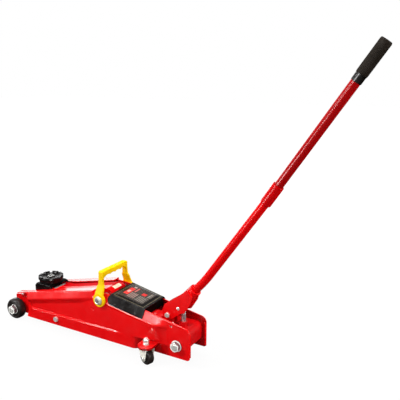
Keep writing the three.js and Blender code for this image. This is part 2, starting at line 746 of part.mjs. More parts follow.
// Saddle: a turned dish with a toothed crown, free to spin on its stem
const saddleFoot = bracketTopZ + gap;
const saddleDeck = saddleFoot + saddleBodyHeight;
const crownFoot = saddleDeck + saddleRimHeight;
const stemFoot = bracketTopZ - bracketSheet - gap - clipThickness - 1;
function saddle() {
  const profile = [[0, stemFoot], [saddleStemRadius, stemFoot], [saddleStemRadius, saddleFoot],
    [saddleBodyRadius, saddleFoot], [saddleBodyRadius, saddleDeck], [saddleRadius, saddleDeck + 1.5],
    [saddleRadius, crownFoot + toothHeight], [saddleRadius - 8, crownFoot + toothHeight],
    [saddleRadius - 11, crownFoot], [12, crownFoot - 1], [9, crownFoot + 2], [0, crownFoot + 2]];
  const notches = [];
  for (let i = 0; i < toothCount; i += 1) {
    notches.push(box(0, saddleRadius + 2, -toothGap / 2, toothGap / 2, crownFoot,
      crownFoot + toothHeight + 2).rotate([0, 0, (i + 0.5) * 360 / toothCount])
      .subtract(barZ(0, 0, 14, 0, crownFoot + toothHeight + 4)));
  }
  return cut(turned(profile, 32), ...notches).translate([saddleX, 0, 0]);
}
add("saddle", saddle(), "blackCast");
const clipTop = bracketTopZ - bracketSheet - gap;
add("saddle_clip", cut(barZ(saddleX, 0, saddleStemRadius + 3, clipTop - clipThickness, clipTop),
  barZ(saddleX, 0, saddleStemRadius + gap, 0, 200)), "zinc");

// Power unit: cast block, tank, gland, ram and the slotted yoke that pushes the lever pin
const tankBoreGap = 0.3;
function valveBoss(radius, from, to) {
  return aimed(barX(0, 0, radius, -from, -to), valveAngle);
}
function pumpBlock() {
  const side = outline([[blockShoulderX + 6, blockDeckZ], [blockShoulderX, blockShoulderZ],
    [blockFrontX, blockShoulderZ], [blockFrontX, blockBottomZ]]);
  side.absarc(blockRearX - blockFootRound, blockBottomZ + blockFootRound, blockFootRound,
    -Math.PI / 2, 0, false);
  side.absarc(blockRearX - blockRearRound, blockDeckZ - blockRearRound, blockRearRound,
    0, Math.PI / 2, false);
  const ears = sides.map(([, s]) => across(tapered(socketX, blockDeckZ - 8, earRadius + 2, socketX,
    socketZ, earRadius), s * earInnerY, s * earOuterY));
  return cut(join(across(side, -blockHalfWidth, blockHalfWidth), ...ears,
    valveBoss(valveRadius + 3.2, valveStart, valveEnd + 9),
    barZ(plungerX, 0, barrelRadius, blockDeckZ - 1, barrelTopZ)),
  valveBoss(valveRadius + gap, valveStart + 6, valveEnd - 3),
  barY(frameBoltX, frameBoltZ, frameBoltRadius + gap, -60, 60),
  barY(socketX, socketZ, stubRadius + gap, -60, 60, 20),
  barZ(plungerX, 0, plungerRadius + gap, plungerFootZ - pumpStroke - 1, barrelTopZ + 5),
  barZ(reliefX, reliefY, reliefRadius + gap, blockDeckZ - 8, blockDeckZ + 5, 16));
}
function aimed(body, angle) {
  return body.rotate([0, -angle, 0]).translate([socketX, 0, socketZ]);
}
add("pump_block", pumpBlock(), "redPaint");

const tankRear = blockFrontX - gap;
const ramFront = leverPinX + yokeBackGap + yokeBack + gap;
const tankFrontX = ramFront + glandClear + glandLength + gap;
add("oil_tank", cut(barX(0, ramZ, tankRadius, tankFrontX, tankRear, 32),
  barX(0, ramZ, ramRadius + tankBoreGap, 0, ramRearX + 2)), "redPaint");
const glandRear = tankFrontX - gap;
add("ram_gland", cut(barX(0, ramZ, glandRadius, glandRear - glandLength, glandRear, 6, 0.1),
  barX(0, ramZ, ramRadius + gap, 0, 500)), "steel");
add("ram", barX(0, ramZ, ramRadius, ramFront, ramRearX), "steel");

// The lever pin rises and falls in the yoke's upright slots as the lever swings
const pinLow = shaftZ - leverLength;
const slotHalf = leverPinRadius + 1.1;
function ramYoke() {
  const front = leverPinX - slotHalf - 4;
  const back = leverPinX + yokeBackGap;
  const low = pinLow - slotHalf - 4;
  const high = leverPinZ + slotHalf + 4;
  const cheeks = sides.map(([, s]) => box(front, back + 1, Math.min(s * yokeInnerY, s * yokeOuterY),
    Math.max(s * yokeInnerY, s * yokeOuterY), low, high));
  const backPlate = box(back, back + yokeBack, -yokeOuterY, yokeOuterY, ramZ - 14, ramZ + 8);
  const bar = box(back, back + yokeBack, -springY - 3, springY + 3, springBarZ - springBarHeight / 2,
    springBarZ + springBarHeight / 2);
  const slot = box(leverPinX - slotHalf, leverPinX + slotHalf, -60, 60, pinLow - slotHalf,
    leverPinZ + slotHalf);
  return cut(join(...cheeks, backPlate, bar), slot);
}
add("ram_yoke", ramYoke(), "steel");

// Return springs from the yoke's bar back to the block, as plain ribbed sleeves
function returnSpring() {
  const front = leverPinX + yokeBackGap + yokeBack + gap;
  const rear = blockFrontX - gap;
  const coils = 8;
  const step = (rear - front) / coils;
  const profile = [[springRadius - springWire, 0]];
  for (let i = 0; i < coils; i += 1) {
    profile.push([springRadius - springWire / 2, i * step], [springRadius, (i + 0.5) * step]);
  }
  profile.push([springRadius - springWire / 2, rear - front], [springRadius - springWire, rear - front],
    [springRadius - springWire, 0]);
  return turned(profile, 8).rotate([0, 90, 0]).translate([front, springY, springBarZ]);
}
const springRight = returnSpring();
for (const [name, side] of sides) add(`return_spring_${name}`, placed(side, springRight), "steel");

// Pump plunger and relief screw
add("pump_plunger", barZ(plungerX, 0, plungerRadius, plungerFootZ, plungerTopZ, 20), "steel");
add("relief_screw", join(barZ(reliefX, reliefY, reliefRadius, blockDeckZ - 7, blockDeckZ + reliefHeight, 16),
  barZ(reliefX, reliefY, reliefRadius + 2.5, blockDeckZ + gap, blockDeckZ + 4, 6)), "zinc");

// Release valve: a screw in the block with one half of the universal joint
function valveStem() {
  const stem = barX(0, 0, valveRadius, -valveStart - 4, -valveEnd, 20);
  const head = barX(0, 0, jointRadius, -valveEnd - 3, -valveEnd + 1, 20);
  const prongs = sides.map(([, s]) => box(-valveEnd, -1.5, s > 0 ? 3.6 : -6, s > 0 ? 6 : -3.6, -2, 2));
  return aimed(join(stem, head, ...prongs), valveAngle);
}
add("release_valve", valveStem(), "steel");

// Rear through bolt that ties both tails to the block
const frameSeat = tailY + gap;
const frameBoltEnd = frameSeat + washer + frameNutHeight + 2;
add("frame_bolt", barY(frameBoltX, frameBoltZ, frameBoltRadius, -frameBoltEnd, frameBoltEnd), "zinc");
const frameNut = flangeNut(frameBoltX, frameBoltZ, frameBoltRadius, frameSeat, frameWasherRadius,
  frameNutAcross, frameNutHeight, 0.4);
for (const [name, side] of sides) add(`frame_bolt_nut_${name}`, placed(side, frameNut), "zinc");

// Handle socket: two cheeks on stub bolts, a top sheet, a sleeve and the pad over the plunger
const cheekOuterY = cheekInnerY + cheekSheet;
const handleX = Math.cos(handleAngle * degrees);
const handleZ = Math.sin(handleAngle * degrees);
const onHandle = (s) => [socketX + s * handleX, socketZ + s * handleZ];
// Cheek corners as shares of the socket's reach along the handle and its depth square to it
const cheekCorners = [[-0.156, 0.145], [-0.032, 0.757], [0.151, 1], [0.401, 0.783], [1, 0.425],
  [0.987, -0.387], [0.802, -0.75], [0.453, -1], [0.385, -0.83], [-0.037, -0.536], [-0.137, -0.25]];
function besideHandle(point, below) {
  return [socketX + point * handleX + below * handleZ, socketZ + point * handleZ - below * handleX];
}
const [padX, padZ] = besideHandle(padAlong, padBelow);
const [windowX, windowZ] = besideHandle(windowAlong, windowBelow);
function handleSocket() {
  const corners = cheekCorners.map(([a, b]) => besideHandle(a * socketReach, -b * socketDepth));
  const cheek = outline(corners);
  const cheeks = sides.map(([, s]) => across(cheek, s * cheekInnerY, s * cheekOuterY));
  const under = cheekCorners.slice(2, 5).map(([a, b]) => besideHandle(a * socketReach,
    cheekSheet - b * socketDepth));
  const roof = outline([...corners.slice(2, 5), ...under.reverse()]);
  const sleeve = aimed(cut(barX(0, 0, sleeveRadius, sleeveStart, sleeveEnd, 28),
    barX(0, 0, tubeRadius + gap, 0, 120)), handleAngle);
  const tubeRoom = aimed(barX(0, 0, tubeRadius + gap, sleeveStart - 20, 120), handleAngle);
  return cut(join(...cheeks, across(roof, -cheekOuterY, cheekOuterY), sleeve,
    barY(padX, padZ, padRadius, -cheekOuterY, cheekOuterY, 16)),
  tubeRoom,
  barY(windowX, windowZ, windowRadius, -60, 60, 20),
  barY(socketX, socketZ, stubRadius + gap, -60, 60, 20));
}
add("handle_socket", handleSocket(), "redPaint");

function stubBolt() {
  const seat = cheekOuterY + gap;
  return join(barY(socketX, socketZ, stubRadius, earInnerY + 1, seat + 1, 20),
    barY(socketX, socketZ, hexRadius(13), seat, seat + 4, 6));
}
const stubRight = stubBolt();
for (const [name, side] of sides) add(`socket_bolt_${name}`, placed(side, stubRight), "zinc");

// Lower handle tube: straight in the sleeve, then a gentle bend
const bendTurn = (bentAngle - handleAngle) * degrees;
function lowerRoute() {
  const points = [];
  const steps = 5;
  let [x, z] = onHandle(tubeStart);
  points.push(new THREE.Vector3(x, 0, z));
  [x, z] = onHandle(bendStart);
  points.push(new THREE.Vector3(x, 0, z));
  for (let i = 0; i < steps; i += 1) {
    const heading = handleAngle * degrees + bendTurn * (i + 0.5) / steps;
    x += Math.cos(heading) * bendLength / steps;
    z += Math.sin(heading) * bendLength / steps;
    points.push(new THREE.Vector3(x, 0, z));
  }
  const rest = lowerTubeLength - bendStart - bendLength;
  const heading = bentAngle * degrees;
  points.push(new THREE.Vector3(x + rest * Math.cos(heading), 0, z + rest * Math.sin(heading)));
  return points;
}
const route = lowerRoute();
const tubeEnd = route[route.length - 1];
const atTubeEnd = (body, angle) => body.rotate([0, -angle, 0]).translate([tubeEnd.x, 0, tubeEnd.z]);
function lowerTube() {
  const ring = (radius) => {
    const rings = [];
    route.forEach((point, i) => {
      const before = route[Math.max(i - 1, 0)];
      const after = route[Math.min(i + 1, route.length - 1)];
      const heading = Math.atan2(after.z - before.z, after.x - before.x);
      const sideways = [-Math.sin(heading), Math.cos(heading)];
      const circle = [];
      for (let k = 0; k < 18; k += 1) {
        const a = k * Math.PI / 9;
        const out = radius * Math.cos(a);
        circle.push([point.x + out * sideways[0], radius * Math.sin(a), point.z + out * sideways[1]]);
      }
      rings.push(circle);
    });
    return rings;
  };
  const flat = ([x, y, z]) => new THREE.Vector2(z * handleX - x * handleZ, y);
  const outer = loft(ring(tubeRadius), flat);
  const bore = barX(0, 0, tubeRadius - tubeWall, -1, 30, 20);
  return cut(outer, aimed(bore.translate([tubeStart, 0, 0]), handleAngle),
    atTubeEnd(bore.translate([-29, 0, 0]), bentAngle));
}
add("lower_handle_tube", lowerTube(), "redPaint");

// Upper half of the universal joint, fixed in the foot of the lower tube
function jointStem() {
  const plug = barX(0, 0, tubeRadius - tubeWall - gap, tubeStart - 6, tubeStart + 18, 20);
  const stem = barX(0, 0, valveRadius, valveEnd, tubeStart - 5, 20);
  const prongs = sides.map(([, s]) => box(1.5, valveEnd + 1, -2, 2, s > 0 ? 3.6 : -6, s > 0 ? 6 : -3.6));
  const head = barX(0, 0, jointRadius, valveEnd - 1, valveEnd + 3, 20);
  return aimed(join(plug, stem, head, ...prongs), handleAngle);
}
add("release_joint", jointStem(), "steel");

// Coupler, upper tube, snap button and grip, built along X and then aimed up the handle
const aloft = (body) => atTubeEnd(body, upperAngle);
const upperStart = gap * 2;
const upperEnd = upperStart + upperTubeLength;
const buttonAt = upperStart + upperTubeEntry * 0.55;
function coupler() {
  const sleeve = barX(0, 0, couplerRadius, couplerLap - couplerLength, couplerLap, 28);
  const lowerRoom = barX(0, 0, tubeRadius + gap, couplerLap - couplerLength - 3, 1, 28);
  return cut(aloft(cut(sleeve, barX(0, 0, upperTubeRadius + gap, 0, couplerLap + 1, 28),
    barZ(buttonAt, 0, buttonRadius + gap, 2, couplerRadius + 5, 16))), atTubeEnd(lowerRoom, bentAngle));
}
add("handle_coupler", coupler(), "redPaint");
function upperTube() {
  return aloft(cut(barX(0, 0, upperTubeRadius, upperStart, upperEnd, 24),
    barX(0, 0, upperTubeRadius - tubeWall, upperStart - 1, upperStart + upperTubeEntry * 2, 20),
    barZ(buttonAt, 0, buttonRadius + gap, 0, couplerRadius + 5, 16)));
}
add("upper_handle_tube", upperTube(), "redPaint");
add("snap_button", aloft(barZ(buttonAt, 0, buttonRadius, upperTubeRadius - tubeWall - 2.2,
  couplerRadius + buttonRise, 16)), "zinc");
function grip() {
  const start = upperEnd - gripLength + gripEndWall + gap;
  const end = start + gripLength;
  const profile = [[upperTubeRadius + gap, 0], [gripCollarRadius, 0], [gripCollarRadius, gripCollar - 2],
    [gripRadius, gripCollar], [gripRadius - 0.4, gripLength / 2], [gripRadius, gripLength - 5],
    [gripRadius - 2, gripLength - 1], [gripRadius - 5, gripLength], [0, gripLength],
    [0, gripLength - gripEndWall + 0.1], [upperTubeRadius + gap, gripLength - gripEndWall + 0.1],
    [upperTubeRadius + gap, 0]];
  const body = turned(profile, 28).rotate([0, 90, 0]).translate([start, 0, 0]);
  return aloft(cut(body, barZ(end - 2.4, 0, 1.5, -30, 30, 12)));
}
add("handle_grip", grip(), "rubber");

// Casters under the ears: each yoke swivels on its stem and carries a wheel on a cross pin.
// They are built round the stem at the origin, turned, and set under the ears.
const swivelled = (side, body) => (side < 0 ? body.rotate([0, 0, casterTurn]) : body)
  .translate([casterX, side * casterY, 0]);
function casterYoke() {
  const legs = outline([[-casterHalf + 1, yokeTop], [-casterHalf + 1, casterTop - 2],
    [casterTrail - casterEyeRadius, casterWheelRadius], [casterTrail + casterEyeRadius, casterWheelRadius],
    [casterHalf + 1, casterTop - 4], [casterHalf + 1, yokeTop]]);
  const whole = across(legs, -casterHalf, casterHalf)
    .add(barY(casterTrail, casterWheelRadius, casterEyeRadius, -casterHalf, casterHalf, 20));
  const room = box(-40, 40, casterSheet - casterHalf, casterHalf - casterSheet, 0, casterTop);
  return cut(whole, room, barZ(0, 0, stemRadius + gap, 0, 80, 20),
    barY(casterTrail, casterWheelRadius, casterPinRadius + gap, -30, 30, 16));
}
function casterWheel() {
  const half = casterWheelWidth / 2;
  const r = casterWheelRadius;
  const bore = casterPinRadius + gap;
  const profile = [[bore, -half], [r - 6, -half], [r - 5, 1 - half], [r - 2, 1 - half], [r, 3 - half],
    [r, half - 3], [r - 2, half - 1], [r - 5, half - 1], [r - 6, half], [bore, half], [bore, -half]];
  return turned(profile, 24).rotate([-90, 0, 0]).translate([casterTrail, 0, casterWheelRadius]);
}
function casterAxle() {
  const seat = casterHalf + gap;
  return join(barY(casterTrail, casterWheelRadius, casterPinRadius, -seat - 1, seat + 1, 16),
    barY(casterTrail, casterWheelRadius, casterPinRadius + 1.8, -seat - 2.2, -seat, 16),
    barY(casterTrail, casterWheelRadius, casterPinRadius + 1.8, seat, seat + 2.2, 16));
}
const nutFoot = earTop + gap;
const nutHex = nutFoot + domeHeight;
function casterStem() {
  return turned([[0, casterTop - gap - 2.2], [stemRadius + 3, casterTop - gap - 2.2],
    [stemRadius + 3, casterTop - gap], [stemRadius, casterTop - gap], [stemRadius, yokeTop + gap],
    [raceRadius, yokeTop + gap], [raceRadius, earFoot - gap], [stemRadius, earFoot - gap],
    [stemRadius, nutHex + stemNutHeight + stemTail - 1], [stemRadius - 1, nutHex + stemNutHeight + stemTail],
    [0, nutHex + stemNutHeight + stemTail]], 16);
}
function casterNut() {
  const dome = turned([[stemRadius + gap, nutFoot], [domeRadius, nutFoot], [domeRadius, nutFoot + 2],
    [domeRadius - 1.4, nutFoot + 4.4], [domeRadius - 3.2, nutHex + 0.5], [stemRadius + gap, nutHex + 0.5],
    [stemRadius + gap, nutFoot]], 16);
  return dome.add(cut(barZ(0, 0, hexRadius(stemNutAcross), nutHex, nutHex + stemNutHeight, 6, 0.5),
    barZ(0, 0, stemRadius + gap, 0, 90, 16)));
}
for (const [name, side] of sides) {
  add(`caster_yoke_${name}`, swivelled(side, casterYoke()), "zinc");
  add(`caster_wheel_${name}`, swivelled(side, casterWheel()), "blackPlastic");
  add(`caster_wheel_pin_${name}`, swivelled(side, casterAxle()), "zinc");
}
const stemRight = casterStem().translate([casterX, casterY, 0]);
const stemNutRight = casterNut().translate([casterX, casterY, 0]);
for (const [name, side] of sides) {
  add(`caster_stem_${name}`, placed(side, stemRight), "zinc");
  add(`caster_nut_${name}`, placed(side, stemNutRight), "zinc");
}

// Carry handle: round feet on the shaft, legs that lean in, and a finger grip across the top
const bailTopZ = shaftZ + bailRise;
function carryHandle() {
  const face = bailFaceY;
  const outer = face + bailThickness;
  const levels = [[shaftZ + 2, 15, outer], [shaftZ + 16, 14.3, outer - 0.6], [shaftZ + 26, bailShankHalf + 1.5,
    outer - 4.4], [shaftZ + 38, mix(bailShankHalf, bailWaistHalf, 0.55), mix(outer, bailTopY, 0.72)],
  [shaftZ + 48, bailWaistHalf + 0.6, bailTopY + 1], [bailTopZ - bailGripHeight, bailWaistHalf, bailTopY],
  [bailTopZ, bailWaistHalf, bailTopY]];
  const rings = levels.map(([z, half, y]) => [[shaftX - half, y - bailThickness, z],
    [shaftX + half, y - bailThickness, z], [shaftX + half, y, z], [shaftX - half, y, z]]);
  const leg = loft(rings, ([x, y]) => new THREE.Vector2(x, y));
  const foot = barY(shaftX, shaftZ, bailFootRadius, face, outer, 28);
  const half = cut(join(leg, foot), barY(shaftX, shaftZ, shaftEndRadius + gap, 0, 90, 20));
  const depth = bailGripDepth / 2;
  const corner = 4;
  const profile = outline([[-depth, -bailGripHeight], [depth, -bailGripHeight], [depth, -corner],
    [depth - corner, 0], [corner - depth, 0], [-depth, -corner]]);
  const bar = across(profile, -bailTopY, bailTopY).translate([shaftX, 0, bailTopZ]);
  const span = 2 * (bailTopY - bailThickness - 5);
  const pitch = span / fingerCount;
  const radius = (pitch * pitch / 4 + fingerDepth * fingerDepth) / (2 * fingerDepth);
  const fingers = [];
  for (let i = 0; i < fingerCount; i += 1) {
    const y = (i + 0.5) * pitch - span / 2;
    fingers.push(barX(y, bailTopZ - bailGripHeight + fingerDepth - radius, radius, shaftX - 20, shaftX + 20, 48));
  }
  return cut(join(bothSides(half), bar), ...fingers);
}
add("carry_handle", carryHandle(), "yellow");
const bailNutSeat = bailFaceY + bailThickness + gap;
const bailNut = cut(barY(shaftX, shaftZ, hexRadius(bailNutAcross), bailNutSeat, bailNutSeat + bailNutHeight,
  6, 0.2), barY(shaftX, shaftZ, shaftEndRadius + gap, 0, 90, 20));
for (const [name, side] of sides) add(`carry_handle_nut_${name}`, placed(side, bailNut), "zinc");

// Cover over the power unit: a folded sheet with a flap down each side
const tankTop = ramZ + tankRadius;
function coverSheet() {
  const stations = [0, 0.2, 0.4, 0.6, 0.8, 1].map((t) => mix(coverFrontX, coverRearX, t));
  const rings = stations.map((x) => {
    const [[yc, zc], [yf, zf]] = flapEnds(x);
    return sheetSection([[-yf, zf], [-yc, zc], [yc, zc], [yf, zf]], cover).map(([y, z]) => [x, y, z]);
  });
  const top = loft(rings, ([, y, z]) => new THREE.Vector2(y, z));
  const length = coverFrontX + 1 - flapFrontX;
  const lobe = [0, 0.08, 0.22, 0.45, 0.7, 1].map((share) => {
    const step = share * length;
    const x = flapFrontX + step;
    const half = 0.5 * Math.sqrt(1 - (1 - (step + 0.5) / (length + 0.5)) ** 2);
    const [[yc, zc], [yf, zf]] = flapEnds(x);
    const at = (t) => [mix(yc, yf, t), mix(zc, zf, t)];
    return sheetSection([at(0.5 - half), at(0.5 + half)], cover).map(([y, z]) => [x, y, z]);
  });
  const flap = loft(lobe, ([, y, z]) => new THREE.Vector2(y, z));
  const screws = screwX.map((x) => join(screwBar(x, screwShank, -8, 1),
    screwBar(x, screwRadius, -0.3, screwHeight, 18)));
  const wall = box(coverRearX - cover, coverRearX, -coverWallHalf, coverWallHalf, tankTop + gap,
    coverTop(coverRearX) - cover / 2);
  return join(top, bothSides(flap), wall, ...screws, ...screws.map(leftOf));
}
add("cover", coverSheet(), "blackPaint");

// ---------- shared frame ----------
const extent = new THREE.Box3().setFromObject(jack);
const centre = extent.getCenter(new THREE.Vector3());
for (const mesh of jack.children) mesh.geometry.translate(-centre.x, -centre.y, -extent.min.z);

export default jack;
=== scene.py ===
"""Hydraulic trolley jack: painted pressings, plated bolts, nylon wheels and a two-piece handle."""
import json
import math

import bmesh
import bpy
import numpy as np
from mathutils import Matrix, Vector

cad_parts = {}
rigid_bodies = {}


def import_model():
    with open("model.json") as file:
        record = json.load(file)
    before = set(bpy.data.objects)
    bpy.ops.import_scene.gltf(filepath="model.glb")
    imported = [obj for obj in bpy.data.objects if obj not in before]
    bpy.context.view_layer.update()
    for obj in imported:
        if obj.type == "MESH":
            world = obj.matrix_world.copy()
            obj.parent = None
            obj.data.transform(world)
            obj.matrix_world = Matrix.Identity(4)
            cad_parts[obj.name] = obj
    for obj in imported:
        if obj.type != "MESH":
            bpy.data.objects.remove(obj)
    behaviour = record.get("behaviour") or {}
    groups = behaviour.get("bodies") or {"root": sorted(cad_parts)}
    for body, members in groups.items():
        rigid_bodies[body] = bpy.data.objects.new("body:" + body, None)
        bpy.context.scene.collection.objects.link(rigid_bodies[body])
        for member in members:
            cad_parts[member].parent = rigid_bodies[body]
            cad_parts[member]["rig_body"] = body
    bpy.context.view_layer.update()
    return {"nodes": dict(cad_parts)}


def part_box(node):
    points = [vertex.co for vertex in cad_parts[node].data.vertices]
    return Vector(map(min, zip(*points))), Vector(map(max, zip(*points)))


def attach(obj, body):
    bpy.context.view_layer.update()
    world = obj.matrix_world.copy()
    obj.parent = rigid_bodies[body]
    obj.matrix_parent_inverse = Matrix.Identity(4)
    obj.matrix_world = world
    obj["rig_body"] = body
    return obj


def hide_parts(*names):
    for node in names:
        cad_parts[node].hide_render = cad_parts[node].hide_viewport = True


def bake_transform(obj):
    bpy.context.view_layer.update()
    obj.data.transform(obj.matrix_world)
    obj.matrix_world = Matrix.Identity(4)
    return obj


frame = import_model()
NODES = frame["nodes"]

# ---------- sizes, in millimetres; x runs back from the front axle ----------
wheel_low, wheel_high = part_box("front_wheel_right")
AXLE_X = (wheel_low.x + wheel_high.x) / 2 * 1000

PLATE = 3
NOSE_Y, RIM_Y, BULGE_Y, RECESS_Y = 40, 54, 57, 50
FLANGE_Y, FLANGE_WIDTH, BAND_Y, TAIL_Y = 52, 17, 46, 41
NOSE_X, NOSE_END, ARCH_X, ARCH_RAMP, ARCH_RISE = -14, 24, 62, 22, 43
PEAK_X, PEAK_Z, FLANGE_X, FLANGE_Z = 281, 142, 12, 77
FOLD_DROP, FOLD_DEPTH, SHELF_DROP = 20, 14, 3
WAIST_LOW_X, WAIST_HIGH_X, WAIST_END_X, POCKET_X, POCKET_RAMP = 410, 466, 482, 402, 26
COVER_FRONT, COVER_REAR, TAIL_X = 333, 433, 556
TAIL_TOP, TAIL_FOOT = 101, 22
SHAFT = (306, 124)
SOCKET = (482, 112)
HANDLE_ANGLE, BENT_ANGLE, UPPER_ANGLE = math.radians(47.2), math.radians(55.1), math.radians(56.2)
TUBE_RADIUS, TUBE_START, BEND_START, BEND_LENGTH = 9.8, 58, 112, 42
LOWER_LENGTH, UPPER_END = 403, 352.6
CASTER = (452, 65)
EAR_RADIUS, EAR_FOOT, EAR_TOP, EAR_SKIRT = 20, 44.2, 48.2, 42.1
SHELF_Z = 51.8
ACROSS = np.array([0.0, 1.0, 0.0])


# ---------- lines and arrays ----------
def mix(a, b, share):
    return a + (b - a) * share


def ease(share):
    """Smooth step: 3t^2 - 2t^3 with t held between 0 and 1."""
    t = np.clip(share, 0, 1)
    return t * t * (3 - 2 * t)


def along(points, x):
    """Value at x on the straight lines through the points (x, value)."""
    stations, values = zip(*points)
    return np.interp(x, stations, values)


def soften(points, setback, steps=4, closed=False):
    """Rounds the corners of a line. points has shape (..., corners, 2 or 3). Each corner P with
    neighbours A and B becomes the curve (1-t)^2 P0 + 2t(1-t) P + t^2 P1, where P0 and P1 lie the
    setback towards A and B, or 0.45 of the way if that is nearer."""
    points = np.asarray(points, float)
    before = np.roll(points, 1, -2)
    after = np.roll(points, -1, -2)
    setback = np.broadcast_to(np.asarray(setback, float), points.shape[:-1])[..., None]

    def towards(other):
        reach = np.linalg.norm(other - points, axis=-1, keepdims=True)
        return points + (other - points) * np.minimum(setback / np.maximum(reach, 1e-9), 0.45)
    t = np.linspace(0, 1, steps + 1)[:, None]
    start, end = towards(before)[..., None, :], towards(after)[..., None, :]
    bend = (1 - t) ** 2 * start + 2 * t * (1 - t) * points[..., None, :] + t * t * end
    if closed:
        return bend.reshape(*points.shape[:-2], -1, points.shape[-1])
    middle = bend[..., 1:-1, :, :].reshape(*points.shape[:-2], -1, points.shape[-1])
    return np.concatenate([points[..., :1, :], middle, points[..., -1:, :]], -2)


def inset(line, depth, closed=False):
    """The line moved to its left by the depth, along the mean of the two sides' normals."""
    step = np.diff(line, axis=-2)
    step /= np.maximum(np.linalg.norm(step, axis=-1, keepdims=True), 1e-9)
    normal = np.stack([-step[..., 1], step[..., 0]], -1)
    if closed:
        gap = line[..., :1, :] - line[..., -1:, :]
        gap /= np.maximum(np.linalg.norm(gap, axis=-1, keepdims=True), 1e-9)
        last = np.stack([-gap[..., 1], gap[..., 0]], -1)
        before = np.concatenate([last, normal], -2)
        after = np.concatenate([normal, last], -2)
    else:
        before = np.concatenate([normal[..., :1, :], normal], -2)
        after = np.concatenate([normal, normal[..., -1:, :]], -2)
    share = np.maximum(1 + (before * after).sum(-1, keepdims=True), 0.4)
    return line + depth * (before + after) / share


def thicken(line, sheet):
    """Closed section of a sheet: the line, then the same line moved in by the sheet's thickness."""
    return np.concatenate([line, inset(line, sheet)[..., ::-1, :]], -2)


# ---------- shells: points in millimetres and the faces that join them ----------
class Shell:
    def __init__(self, points, faces):
        self.points = np.asarray(points, float).reshape(-1, 3)
        self.faces = faces

    def __add__(self, other):
        offset = len(self.points)
        shifted = [[i + offset for i in face] for face in other.faces]
        return Shell(np.vstack([self.points, other.points]), self.faces + shifted)

    def placed(self, at, axis=(0, 1, 0), toward=(1, 0, 0)):
        """Local x, y and z laid along toward, axis x toward, and axis, from the point at."""
        up = np.array(axis, float) / np.linalg.norm(axis)
        out = np.array(toward, float)
        out -= up * out.dot(up)
        out /= np.linalg.norm(out)
        basis = np.array([out, np.cross(up, out), up])
        return Shell(self.points @ basis + np.array(at, float), self.faces)

    def mirrored(self):
        return Shell(self.points * [1, -1, 1], self.faces)


def skin(rows, ring=False):
    """Four-sided faces over a grid of points (rows, columns, 3), whose last column is joined to the
    first. ring joins the last row to the first too; otherwise a face caps each end row."""
    count, columns = rows.shape[:2]
    index = np.arange(count * columns).reshape(count, columns)
    index = np.hstack([index, index[:, :1]])
    if ring:
        index = np.vstack([index, index[:1]])
    corners = [index[:-1, :-1], index[:-1, 1:], index[1:, 1:], index[1:, :-1]]
    faces = np.stack(corners, -1).reshape(-1, 4).tolist()
    if not ring:
        faces += [index[0, :columns][::-1].tolist(), index[-1, :columns].tolist()]
    return Shell(rows, faces)


def lathe(profile, turns=64, ring=False, radius=None):
    """Profile of (radius, height) turned about the axis: (r cos a, r sin a, h). radius, where
    given, changes the grid of radii as a function of the angle and the height."""
    profile = np.asarray(profile, float)
    angle = np.arange(turns) * 2 * math.pi / turns
    reach = np.repeat(profile[:, :1], turns, 1)
    height = np.repeat(profile[:, 1:2], turns, 1)
    if radius:
        reach = radius(reach, angle[None, :], height)
    rows = np.stack([reach * np.cos(angle), reach * np.sin(angle), height], -1)
    return skin(rows, ring=ring)


def rod(radius, low, high, edge=0.6, turns=48):
    """Round bar from low to high with its two edges rounded over."""
    line = soften([[0, low], [radius, low], [radius, high], [0, high]], [0, edge, edge, 0], 3)
    return lathe(line, turns)


def tube(outer, inner, low, high, edge=0.5, turns=64):
    """Round tube: the closed section between two radii, its four corners rounded."""
    corners = [[inner, low], [outer, low], [outer, high], [inner, high]]
    return lathe(soften(corners, edge, 3, closed=True), turns, ring=True)


def hexagon(radius, angle, across):
    """Radius held inside a hexagon: the smaller of r and (across/2) / cos(angle to the flat)."""
    off = (angle + math.pi / 6) % (math.pi / 3) - math.pi / 6
    return np.minimum(radius, across / 2 / np.cos(off))


def cone(across, start):
    """Chamfer of a hexagon's face, as (radius, height) from its flat middle to its corners. start
    is the flat's radius as a share of the width across flats."""
    corner = across / math.sqrt(3)
    steps = np.linspace(0, 1, 7)[:, None]
    return np.hstack([mix(across * start, corner, steps), (corner - across / 2) * 0.62 * steps])


def hex_nut(across, low, high, bore):
    """Hexagon nut with both faces turned to a cone, so that each flat ends in a curved line.
    The radius is the smaller of the hexagon's and the cone's, and the bore is countersunk."""
    face = cone(across, 0.486) + [0, low]
    outer = np.vstack([face, np.hstack([face[::-1, :1], low + high - face[::-1, 1:]])])
    sink = min(0.8, bore * 0.15)
    inner = [[bore + sink, high], [bore, high - sink], [bore, low + sink], [bore + sink, low]]
    return lathe(np.vstack([outer, inner]), 96, ring=True,
                 radius=lambda r, a, h: np.where(r > bore + sink, hexagon(r, a, across), r))


def hex_head(across, low, high):
    """Bolt head: a hexagon with a coned outer face and a closed middle."""
    face = cone(across, 0.48)[::-1] * [1, -1] + [0, high]
    line = np.vstack([[[0, low], [face[0, 0], low]], face, [[0, high]]])
    return lathe(line, 96, radius=lambda r, a, h: hexagon(r, a, across))


def threaded(radius, low, high, pitch):
    """Screw thread: r = R - depth * |2 frac(h / pitch - a / 2 pi) - 1|, faded to a cone at the tip."""
    rows = int((high - low) / pitch * 8) + 2
    heights = np.linspace(low, high, rows)
    line = np.column_stack([np.full(rows, radius), heights])
    depth = pitch * 0.42

    def wave(r, a, h):
        phase = (h / pitch - a / (2 * math.pi)) % 1
        tip = np.clip((high - h) / pitch, 0, 1)
        return np.minimum(r - depth * np.abs(2 * phase - 1), radius - depth * 1.3 * (1 - tip))
    return lathe(line, 36, radius=wave)


